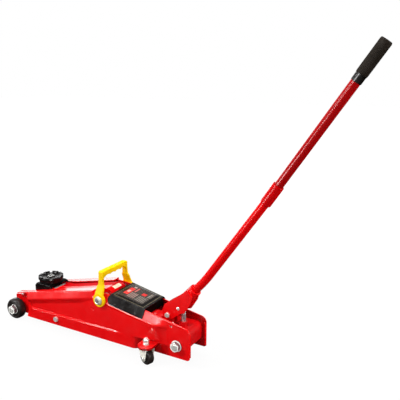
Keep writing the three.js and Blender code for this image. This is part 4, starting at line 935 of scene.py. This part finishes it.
def cross_pin(name, node, finish, radius):
    """Pin across the jack with its rims rounded, as long as the frame's own."""
    low, high = (np.array(c) * 1000 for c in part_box(node))
    place = ((low[0] + high[0]) / 2 - AXLE_X, 0, (low[2] + high[2]) / 2)
    make(name, across_at(rod(radius, low[1], high[1], 1.0), place), finish, node)


cross_pin("saddle_bracket_pin", "bracket_pin", zinc, 6)
cross_pin("arm_lever_pin", "lever_pin", steel, 6.5)
cross_pin("anchor_pin", "link_anchor_pin", zinc, 4)
cross_pin("link_front_pin", "link_tip_pin", zinc, 4)
eased("saddle_bracket", black, 0.7, 2, bracket_folds, 3.2)
SADDLE = (84, 0, 0)


def saddle():
    """Turned dish with eight teeth. Heights above the floor between the teeth are raised where the
    angle is inside a tooth: t = ease((|off| r - half gap) / 1.4 mm), off being the angle to the
    nearest gap."""
    profile = np.array([[0, 103.6], [9, 103.6], [9, 110.3], [30.1, 110.3], [30.6, 110.8], [30.6, 115.6],
                        [31.2, 116.3], [32.9, 117.2], [33.3, 118.2], [33.3, 121.0], [33.3, 121.5],
                        [33.3, 124.6], [32.9, 125.6], [31.9, 126.2], [27, 126.2], [26, 125.8],
                        [25.4, 124.9], [23.4, 121.8], [22.4, 121.3], [13, 120.5], [11.5, 121.0],
                        [10.2, 122.8], [9.2, 123.2], [0, 123.2]])
    floor, half_gap, count, teeth = 121.3, 2.8, 256, 8
    angle = np.arange(count) * 2 * math.pi / count
    reach = np.repeat(profile[:, :1], count, 1)
    height = np.repeat(profile[:, 1:], count, 1)
    pitch = 2 * math.pi / teeth
    off = np.abs((angle + pitch / 2) % pitch - pitch / 2)[None, :]
    raised = ease((off * reach - half_gap) / 1.4)
    crown = (height > floor) & (reach > 15)
    height = np.where(crown, floor + (height - floor) * raised, height)
    rows = np.stack([reach * np.cos(angle), reach * np.sin(angle), height], -1)
    return skin(rows).placed(SADDLE, (0, 0, 1))


make("saddle_dish", saddle(), iron, "saddle")
stud = soften([[5.2, 122.6], [7.6, 122.6], [7.6, 124.2], [6.6, 125], [5.2, 124.4]],
              [0.2, 0.4, 1, 0.8, 0.4], 4, closed=True)
make("saddle_stud", lathe(stud, ring=True).placed(SADDLE, (0, 0, 1)), steel, body="saddle_body")
make("saddle_ring", tube(12, 9.3, 104.6, 106.2, 0.3).placed(SADDLE, (0, 0, 1)), zinc, "saddle_clip")

# ---------- power unit ----------
BLOCK_FRONT, RAM_Z = 446, 76
TANK_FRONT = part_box("oil_tank")[0].x * 1000 - AXLE_X
GLAND_FRONT = TANK_FRONT - 8.3
YOKE_BACK = GLAND_FRONT - 1.3


def lengthwise(shell):
    """Lays a shell's axis along the ram's, pointing back."""
    return shell.placed((0, 0, RAM_Z), (1, 0, 0), (0, 0, 1))


eased("pump_block", power_unit_painted_shade, 1.8, 3)
bead = soften([[27.5, 436], [29.3, 437.5], [29.3, 440.5], [27.5, 442]], 1.4, 3, closed=True)
cylinder = tube(28, 11.3, TANK_FRONT, BLOCK_FRONT - 0.3, 2.5, 96)
make("tank", lengthwise(cylinder + lathe(bead, 96, ring=True)), red, "oil_tank")
make("gland_nut", lengthwise(hex_nut(38, GLAND_FRONT, TANK_FRONT - 0.3, 11.3)), steel, "ram_gland")
make("ram_rod", lengthwise(rod(11, YOKE_BACK + 0.3, 432, 0.8, 64)), chrome, "ram")
eased("ram_yoke", steel)


def row_point(x, y, z):
    """A place in metres in the frame, from the jack's own sizes."""
    return ((x + AXLE_X) / 1000, y / 1000, z / 1000)


def return_spring(side, sign):
    """Extension spring: a round wire along (x, R cos a, R sin a), closely wound, with its two end
    coils drawn in to the hook points."""
    y, z = sign * 35, 66
    turns, wire, reach = 34, 0.75, 3.7
    rows = turns * 14
    t = np.linspace(0, 1, rows)
    front, back = YOKE_BACK + 0.6, BLOCK_FRONT - 1.2
    a = 2 * math.pi * turns * t
    spread = reach * np.clip(np.minimum(t, 1 - t) * turns, 0.25, 1)
    path = np.column_stack([mix(front, back, t), spread * np.cos(a), spread * np.sin(a)])
    out = np.column_stack([np.zeros(rows), np.cos(a), np.sin(a)])
    ahead = np.gradient(path, axis=0)
    ahead /= np.linalg.norm(ahead, axis=1, keepdims=True)
    up = np.cross(ahead, out)
    up /= np.linalg.norm(up, axis=1, keepdims=True)
    rim = circle(wire, 7)
    grid = path[:, None] + rim[:, :1] * out[:, None] + rim[:, 1:] * up[:, None]
    spring = object_from(f"{side}_return_spring", mesh_from("spring", skin(grid + [0, y, z])), steel)
    row_point(back, y, z)
    row_point(front, y, z)
    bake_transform(spring)
    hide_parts(f"return_spring_{side}")


both(return_spring)

PLUNGER = (515.5, 0, 0)
profile = soften([[0, 88], [5.5, 88], [5.5, 116.2], [4.4, 116.8], [4.4, 118.4], [5.5, 119], [5.5, 121],
                  [3.5, 122.5], [0, 122.6]], [0, 0.3, 0.3, 0.3, 0.3, 0.3, 1, 1, 0], 3)
make("plunger", lathe(profile, 48).placed(PLUNGER, (0, 0, 1)), chrome, "pump_plunger")
relief = threaded(3, 88, 101, 1.0) + hex_nut(9.5, 87.3, 91, 3)
make("relief_valve_screw", relief.placed((502, -27, 0), (0, 0, 1)), zinc, "relief_screw")
eased("release_valve", steel, 0.4)
eased("release_joint", steel, 0.4)

# ---------- socket and handle ----------
along_handle, along_bent, along_upper = (
    np.array([math.cos(angle), 0, math.sin(angle)]) for angle in (HANDLE_ANGLE, BENT_ANGLE, UPPER_ANGLE))
square_upper = np.array([-math.sin(UPPER_ANGLE), 0, math.cos(UPPER_ANGLE)])
PIVOT = np.array([SOCKET[0], 0, SOCKET[1]], float)


def socket_folds(a, b):
    """The socket's front edges above its pivot, where its cheeks are folded from its back."""
    middle = (a + b) / 2 - PIVOT
    return (min(abs(a[1]), abs(b[1])) > 18.2 and abs(a[1] - b[1]) < 0.1 and min(a[2], b[2]) > 129
            and max(a[0], b[0]) < 540 and middle[2] > middle[0] * 1.08)


eased("handle_socket", red, 0.9, 2, socket_folds, 3.2)


def socket_bolt(side, sign):
    """Short bolt on which the socket turns."""
    stub = rod(5, 9, 19.6) + hex_head(11, 18.6, 22.6)
    make(f"{side}_socket_stub", across_at(stub, SOCKET, sign), zinc, f"socket_bolt_{side}", sharp=24)


both(socket_bolt)


def window_pin(side, sign):
    """Low domed pin head that fills the round window in the socket's cheek."""
    at = PIVOT + 36.2 * along_handle - 6 * np.array([-along_handle[2], 0, along_handle[0]])
    head = soften([[0, 12], [4.3, 12], [4.3, 18.4], [3, 19.6], [0, 20]], [0, 0.3, 0.8, 1.2, 0], 4)
    make(f"{side}_window_pin", across_at(lathe(head, 40), at, sign), zinc, body="socket_body")


both(window_pin)


def handle_path():
    """The lower tube's middle line: straight, an arc that turns evenly, then straight again."""
    first = PIVOT + TUBE_START * along_handle
    headings = np.linspace(HANDLE_ANGLE, BENT_ANGLE, 33)
    steps = BEND_LENGTH / 32 * np.column_stack([np.cos(headings), np.zeros(33), np.sin(headings)])
    curve = PIVOT + BEND_START * along_handle + np.cumsum(steps, 0) - steps[0]
    rest = LOWER_LENGTH - BEND_START - BEND_LENGTH
    straight = np.linspace(0, 1, 12)[1:, None]
    return np.vstack([mix(first, curve[0], np.linspace(0, 1, 8)[:-1, None]), curve,
                      curve[-1] + rest * straight * along_bent])


route = handle_path()
TUBE_TOP = route[-1]


def drawn_tube(path, outer, wall):
    """Tube with a wall: the outer circle carried up the path and the bore carried back down it."""
    bore = carried(path, circle(outer - wall, 48))
    return skin(np.concatenate([carried(path, circle(outer, 48)), bore[::-1]]), ring=True)


def aloft(shell):
    """Lays a shell's axis up the upper handle from the lower tube's end."""
    return shell.placed(TUBE_TOP, along_upper, square_upper)


make("lower_tube", drawn_tube(route, TUBE_RADIUS, 2), lower_tube_painted_shade, "lower_handle_tube")
make("upper_tube", aloft(tube(TUBE_RADIUS, 7.8, 0.6, UPPER_END, 0.5)), upper_tube_painted_shade, "upper_handle_tube")
sleeve = soften([[10.45, -25], [12.1, -25], [12.4, -24.6], [12.4, 23.6], [12, 24], [10.1, 24], [10.1, 0],
                 [10.45, 0]], [0.1, 0.2, 0.6, 0.6, 0.3, 0.1, 0.1, 0.1], 3, closed=True)
make("handle_sleeve", aloft(lathe(sleeve, 72, ring=True)), coupler_painted_shade, "handle_coupler")
button = lathe(soften([[0, 5.6], [3.2, 5.6], [3.2, 13.6], [0, 14.6]], [0, 0.3, 1.4, 0], 5), 32)
make("spring_button", button.placed(TUBE_TOP + 11.6 * along_upper, square_upper, along_upper), zinc,
     "snap_button")


GRIP_LOW = UPPER_END - 80.7


def hand_grip():
    """Rubber grip: thirty-two shallow flutes, r = R - 0.45 (1 + cos 32 a) / 2, that fade out
    towards both ends, a plain band near the end and a rounded cap."""
    flutes, depth, fluted_from, fluted_to = 32, 0.45, GRIP_LOW + 18, GRIP_LOW + 76
    profile = [[10.1, 16.3], [11, 16.3], [11.7, 16.8], [12, 18]]
    profile += [[12, h] for h in np.linspace(19, 74, 31)]
    profile += [[12, 76], [12, 82], [11.7, 84], [11, 85.3], [9.6, 86], [0, 86], [0, 81.4], [10.1, 81.4]]

    def fluted(r, a, h):
        fade = ease((h - fluted_from) / 6) * ease((fluted_to - h) / 5)
        return r - depth * fade * (1 + np.cos(flutes * a)) / 2 * (r > 11.9)
    return lathe(np.array(profile) + [0, GRIP_LOW], 192, ring=True, radius=fluted)


make("hand_grip", aloft(hand_grip()), rubber, "handle_grip")
collar = soften([[10.1, 0], [10.9, 0], [10.9, 14], [11.6, 15.2], [11.6, 16.2], [10.1, 16.2]],
                [0.1, 0.4, 1, 0.4, 0.2, 0.1], 3, closed=True) + [0, GRIP_LOW]
make("grip_collar", aloft(lathe(collar, 72, ring=True)), collar_black, body="handle_body")

# ---------- casters ----------
CASTER_WHEEL, CASTER_TRAIL = 18, 3.5
NUT_FOOT = EAR_TOP + 0.3


def caster(side, sign):
    """Yoke, wheel, pin, stem with its ball races, and domed nut. The left one stands turned."""
    turn = math.radians(-16 if sign < 0 else 0)
    ahead = np.array([math.cos(turn), math.sin(turn), 0])
    across = np.array([-math.sin(turn), math.cos(turn), 0])
    stem = np.array([CASTER[0], sign * CASTER[1], 0])
    hub = stem + CASTER_TRAIL * ahead + [0, 0, CASTER_WHEEL]
    eased(f"caster_yoke_{side}", yoke_zinc, 1.0, 3)
    half, r = 8.5, CASTER_WHEEL
    tread = [[3.3, -half], [8, -half], [8.6, -half + 1.2], [r - 6, -half + 1.2], [r - 5, -half + 0.4],
             [r - 2, -half + 0.4], [r, -half + 2.6], [r, -1.2], [r - 1.6, -0.7], [r - 1.6, 0.7], [r, 1.2],
             [r, half - 2.6], [r - 2, half - 0.4], [r - 5, half - 0.4], [r - 6, half - 1.2],
             [8.6, half - 1.2], [8, half], [3.3, half]]
    profile = soften(tread, 0.6, 3, closed=True)
    make(f"{side}_caster_wheel", lathe(profile, 72, ring=True).placed(hub, across, ahead), nylon,
         f"caster_wheel_{side}")
    head = soften([[0, 13.4], [4.8, 13.4], [4.8, 15.0], [3.2, 15.8], [0, 15.8]],
                  [0, 0.3, 0.7, 0.7, 0], 3)
    pin = rod(3, -14.4, 14.4)
    for end in (-1, 1):
        pin += lathe(head).placed((0, 0, 0), (0, 0, end))
    make(f"{side}_caster_pin", pin.placed(hub, across, ahead), zinc, f"caster_wheel_pin_{side}")
    race = lathe(soften([[0, 36.9], [7, 36.9], [7, 39.1], [4, 39.1], [4, 42.1], [9, 42.1], [9, 43.9],
                         [4, 43.9], [4, 60], [0, 60]],
                        [0, 0.5, 0.3, 0.2, 0.2, 0.7, 0.7, 0.2, 0.2, 0], 3), 48)
    race += threaded(4, 58, 65, 1.25)
    make(f"{side}_caster_stem", race.placed(stem, (0, 0, 1)), zinc, f"caster_stem_{side}")
    dome = soften([[4.3, 0], [7.4, 0], [7.4, 1.6], [6.4, 4.4], [5, 6.4], [4.3, 6.4]],
                  [0.1, 0.4, 0.8, 1.2, 0.5, 0.1], 3, closed=True)
    nut = lathe(dome, 48, ring=True) + hex_nut(12.4, 6, 12.5, 4.1)
    make(f"{side}_caster_nut", nut.placed(stem + [0, 0, NUT_FOOT], (0, 0, 1)), zinc,
         f"caster_nut_{side}", sharp=24)


both(caster)

# ---------- carry handle ----------
EYE_IN, EYE_OUT = 54.3, 60.3
BAIL_TOP = SHAFT[1] + 72


def rounded_bar(half, thick):
    """Section of a bar: a rectangle with its corners rounded, from arrays of half width (first
    axis) and thickness, as (rows, points, 2) in width and depth below the outer face."""
    x = np.stack([half, -half, -half, half], -1)
    depth = np.stack([0 * thick, 0 * thick, thick, thick], -1)
    return soften(np.stack([x, depth], -1), 1.8, 3, closed=True)


def curve_through(marks, t):
    """Values at t on a cubic through the marks, which lie at t = 0, 1, 2 and so on: on each span,
    (2u^3 - 3u^2 + 1) a + (u^3 - 2u^2 + u) a' + (3u^2 - 2u^3) b + (u^3 - u^2) b'."""
    slope = np.gradient(marks, axis=0)
    i = np.clip(t.astype(int), 0, len(marks) - 2)
    u = (t - i).reshape(-1, *[1] * (marks.ndim - 1))
    return ((2 * u ** 3 - 3 * u ** 2 + 1) * marks[i] + (u ** 3 - 2 * u ** 2 + u) * slope[i]
            + (3 * u ** 2 - 2 * u ** 3) * marks[i + 1] + (u ** 3 - u ** 2) * slope[i + 1])


def carry_handle():
    """One bar bent over the jack. Its outer and inner lines (y, z) run up a leg, which narrows at a
    shoulder, round the corner and half way along the grip. The inner line under the grip rises for
    each finger by 2.6 |sin(pi fingers share)|^0.7. The other half is its mirror image."""
    foot = SHAFT[1]
    outer = np.array([[EYE_OUT, foot - 2], [EYE_OUT, foot + 9], [59, foot + 16], [56.5, foot + 22],
                      [52.1, foot + 33.5], [51, foot + 37.5], [50.2, foot + 50], [49.8, BAIL_TOP - 9],
                      [49.2, BAIL_TOP - 2.5], [45.5, BAIL_TOP], [38, BAIL_TOP], [0, BAIL_TOP]])
    inner = np.array([[EYE_IN, foot - 2], [EYE_IN, foot + 9], [53, foot + 16], [50.5, foot + 22],
                      [46.1, foot + 33.5], [45, foot + 37.5], [44.2, foot + 50], [43.6, BAIL_TOP - 19],
                      [41.5, BAIL_TOP - 16.2], [38, BAIL_TOP - 15], [34, BAIL_TOP - 15],
                      [0, BAIL_TOP - 15]])
    half = np.array([12, 12.2, 12, 11.4, 10.8, 8.1, 7.1, 6.6, 6.9, 7.5, 7.5, 7.5])
    t = np.concatenate([np.linspace(0, 10, 120), np.linspace(10, 11, 56)[1:]])
    a, b, w = curve_through(outer, t), curve_through(inner, t), curve_through(half, t)
    a[:, 1] = np.minimum(a[:, 1], BAIL_TOP)
    grip_half, fingers, under_grip = 39.0, 2, t > 9.4
    share = np.clip((grip_half - b[:, 0]) / grip_half, 0, 1)
    b[:, 1] += 2.6 * np.abs(np.sin(math.pi * share * fingers)) ** 0.7 * under_grip
    a = np.vstack([a, (a * [-1, 1])[-2::-1]])
    b = np.vstack([b, (b * [-1, 1])[-2::-1]])
    w = np.concatenate([w, w[-2::-1]])
    thick = np.linalg.norm(b - a, axis=1)
    section = rounded_bar(w, thick)
    inward = (b - a) / thick[:, None]
    rows = np.empty((*section.shape[:2], 3))
    rows[..., 0] = SHAFT[0] + section[..., 0]
    rows[..., 1:] = a[:, None] + section[..., 1:] * inward[:, None]
    shell = skin(rows)
    disc = soften([[6.4, EYE_IN], [17.5, EYE_IN], [17.5, EYE_OUT], [12.2, EYE_OUT],
                   [11.6, EYE_OUT - 0.6], [6.4, EYE_OUT - 0.6]],
                  [0.3, 0.8, 1.4, 0.4, 0.4, 0.2], 4, closed=True)
    for sign in (-1, 1):
        shell += across_at(lathe(disc, 72, ring=True), SHAFT, sign)
    return shell


make("carry_bar", carry_handle(), yellow, "carry_handle", sharp=40)


def bail_nut(side, sign):
    """Washer and nut that hold the carry handle's eye on the shaft."""
    nut = tube(10.6, 6.3, 60.6, 61.8, 0.4) + hex_nut(16, 61.8, 65.6, 6.1)
    make(f"{side}_carry_nut", across_at(nut, SHAFT, sign), zinc, f"carry_handle_nut_{side}", sharp=24)


both(bail_nut)

# ---------- cover ----------
COVER_HIGH, COVER_LOW, SHEET = 141.0, 124.5, 2


def cover_top(x):
    """Height of the cover's sloping top."""
    return mix(COVER_HIGH, COVER_LOW, (x - COVER_FRONT) / (COVER_REAR - COVER_FRONT))


def flap_ends(x):
    """Corner and foot of the cover's flap at x, as (y, z) on its outer face."""
    foot = along(OUTER_BEND, x) + 3
    top_y, edge = along(BAND_TOP, x), along(REAR_EDGE, x)
    fall = (edge - foot) / (edge - along(OUTER_BEND, x))
    corner = np.stack([top_y + 0.3, cover_top(x)], -1)
    return corner, np.stack([mix(top_y, RIM_Y, fall) + 3.1, foot], -1)


def roof():
    """Top and flaps: across the top it carries a raised field, 0.8 mm high inside a rounded
    rectangle, and it turns down over both plates."""
    x = np.linspace(COVER_FRONT, COVER_REAR, 48)
    corner, foot = flap_ends(x)
    top = corner[:, None, 0] * np.linspace(-1, 1, 61)
    middle, reach = (COVER_FRONT + COVER_REAR) / 2 - 1, (COVER_REAR - COVER_FRONT) / 2 - 6
    round_off, border = 4, 6.5
    dx = np.abs(x[:, None] - middle) - (reach - border) + round_off
    dy = np.abs(top) - (corner[:, None, 0] - border) + round_off
    outside = np.hypot(np.maximum(dx, 0), np.maximum(dy, 0)) + np.minimum(np.maximum(dx, dy), 0)
    raised = 0.8 * ease((round_off - outside) / 1.6)
    line = np.stack([top, cover_top(x)[:, None] + raised], -1)
    line = np.concatenate([foot[:, None] * [-1, 1], line, foot[:, None]], 1)
    left, right = (soften(part, [0, 2.4, 0], 5) for part in (line[:, :3], line[:, -3:]))
    return press(x, np.concatenate([left[:, :-1], line[:, 2:-2], right[:, 1:]], 1), SHEET)


def lobe():
    """Half-round front end of a flap: an ellipse 13 mm long and as high as the flap."""
    length = 13
    steps = np.concatenate([[0.15], np.linspace(0.5, length, 14)])
    x = COVER_FRONT - 6 + steps
    half = 0.5 * np.sqrt(np.clip(1 - (1 - steps / length) ** 2, 0, 1))
    corner, foot = flap_ends(x)
    share = 0.5 + half[:, None] * np.linspace(-1, 1, 5)
    return press(x, mix(corner[:, None], foot[:, None], share[..., None]), SHEET)


def flap_screw(x):
    """Pan-head screw near the foot of a flap, square to it."""
    corner, foot = (ends[0] for ends in flap_ends(np.array([float(x)])))
    face = mix(corner, foot, 0.8)
    out = np.array([corner[1] - foot[1], foot[0] - corner[0]])
    out /= np.linalg.norm(out)
    head = soften([[0, -3], [1.7, -3], [1.7, 0.2], [3.9, 0.2], [3.6, 1.2], [1.8, 2.0], [0, 2.1]],
                  [0, 0.2, 0.1, 0.4, 0.8, 1, 0], 4)
    return lathe(head, 32).placed((x, face[0], face[1]), (0, *out), (1, 0, 0))


screws = flap_screw(350) + flap_screw(411)
make("power_unit_cover", roof() + lobe() + lobe().mirrored() + screws + screws.mirrored(), cover_black,
     "cover")
# wall across the cover's open back, in the darker black that stands for shade there
wall = box(COVER_REAR - SHEET, COVER_REAR - 0.02, -36.5, 36.5, 104.3, cover_top(COVER_REAR) - 0.6)
make("cover_rear_wall", wall, cover_wall_painted_shade, body="frame")


# ---------- floor, light and camera ----------
def floor():
    """Pale paper. The camera sees mostly its own light, stronger further out, so that only the soft
    shadow shows. Paint and metal mirror a floor that is dark beside the jack and paler in front,
    and as light on the jack it is the plain diffuse paper."""
    size = 12.0
    mesh = bpy.data.meshes.new("floor")
    mesh.from_pydata([(-size, -size, 0), (size, -size, 0), (size, size, 0), (-size, size, 0)], [],
                     [(0, 1, 2, 3)])
    paper = bpy.data.materials.new("floor_paper")
    nodes = Nodes(paper)
    shader = nodes.tree.nodes["Principled BSDF"]
    shader.inputs["Base Color"].default_value = (0.28, 0.28, 0.28, 1)
    shader.inputs["Roughness"].default_value = 0.9
    shader.inputs["Specular IOR Level"].default_value = 0.1
    place = nodes.coordinate("Object")
    distance = nodes.node("ShaderNodeVectorMath", {"operation": "LENGTH"}, {0: place}, "Value")
    seen, glossy = nodes.rays()[:2]
    in_front = nodes.parts(place)[1].ramp(-0.7, -0.1, 0.4, 0.0)
    strength = seen * distance.ramp(0.5, 1.6, 1.1, 1.25) + glossy * in_front
    glow = nodes.node("ShaderNodeEmission", {}, {"Strength": strength})
    own_light = seen * 0.86 + glossy
    blend = nodes.node("ShaderNodeMixShader", {}, {
        0: own_light, 1: Field(nodes, shader.outputs[0]), 2: glow})
    nodes.feed(nodes.tree.nodes["Material Output"].inputs[0], blend)
    mesh.materials.append(paper)
    obj = bpy.data.objects.new("floor", mesh)
    bpy.context.scene.collection.objects.link(obj)
    obj.location.z = -0.0005


def surroundings():
    """White backdrop for what is seen. Metal and paint mirror a white band behind the jack, low
    down, and a dim room elsewhere; as light on the jack it is a softer level."""
    level, room = 0.24, 0.1
    world = bpy.data.worlds.new("studio")
    bpy.context.scene.world = world
    nodes = Nodes(world)
    seen, glossy, through = nodes.rays()
    x, y, z = nodes.parts(nodes.coordinate("Generated"))
    low = z.ramp(0.35, 0.62, 1.0, 0.25)
    towards_backdrop = (y * 0.8 - x * 0.6).ramp(0.0, 0.6, room, 1.1) * low
    straight = seen.apply("MAXIMUM", through)
    mirrored = glossy * towards_backdrop
    lighting = (1 - straight.apply("MAXIMUM", glossy)) * level
    background = nodes.tree.nodes["Background"]
    background.inputs["Color"].default_value = (1, 1, 1, 1)
    nodes.feed(background.inputs["Strength"], straight + mirrored + lighting)


def softbox(name, place, target, width, height, power, glint=False, upright=(0, 0, 1)):
    """Rectangular lamp that faces its target, its height along upright. A glint only shows as a
    reflection, and doesn't light what it faces."""
    lamp = bpy.data.lights.new(name, "AREA")
    lamp.shape, lamp.size, lamp.size_y, lamp.energy = "RECTANGLE", width, height, power
    obj = bpy.data.objects.new(name, lamp)
    back = (Vector(place) - Vector(target)).normalized()
    side = Vector(upright).cross(back).normalized()
    turn = Matrix((side, back.cross(side), back)).transposed().to_4x4()
    obj.matrix_world = Matrix.Translation(place) @ turn
    obj.visible_camera = False
    obj.visible_diffuse = not glint
    bpy.context.scene.collection.objects.link(obj)


def camera():
    """Behind the jack and to its left, looking forwards and a little down."""
    data = bpy.data.cameras.new("camera")
    data.sensor_width, data.lens = 36, 46.8
    obj = bpy.data.objects.new("camera", data)
    yaw, pitch, roll = math.radians(29.745), math.radians(13.289), math.radians(0.545)
    ahead = Vector((-math.sin(yaw) * math.cos(pitch), math.cos(yaw) * math.cos(pitch), -math.sin(pitch)))
    level = Vector((math.cos(yaw), math.sin(yaw), 0))
    above = level.cross(ahead)
    right = math.cos(roll) * level + math.sin(roll) * above
    top = math.cos(roll) * above - math.sin(roll) * level
    turn = Matrix((right, top, -ahead)).transposed().to_4x4()
    obj.matrix_world = Matrix.Translation(Vector((1.1124 + AXLE_X / 1000, -0.9712, 0.6624))) @ turn
    bpy.context.scene.collection.objects.link(obj)
    bpy.context.scene.camera = obj


floor()
surroundings()
softbox("overhead", (-0.1, 0.2, 1.9), (0, 0, 0.1), 1.1, 0.8, 24)
softbox("left_key", (-1.15, -1.2, 1.6), (0, 0, 0.1), 0.6, 0.6, 34)
softbox("front_fill", (0.8, -1.5, 1.3), (0, 0, 0.1), 1.2, 0.9, 15)
softbox("tail_fill", (1.6, 0.45, 0.8), (0, 0, 0.1), 0.9, 0.9, 20)
softbox("bend_glint", (-1.25, -1.58, 0.34), (0, 0, 0.1), 1.0, 0.2, 30, glint=True)
softbox("handle_glint", (0.09, -0.42, 0.62), (0.36, 0, 0.58), 0.1, 0.7, 8, glint=True,
        upright=along_upper)
softbox("backdrop_strip", (-1.75, 1.56, 0.5), (0, 0, 0.1), 2.2, 0.6, 13)
camera()
bpy.context.scene.view_settings.view_transform = "Standard"
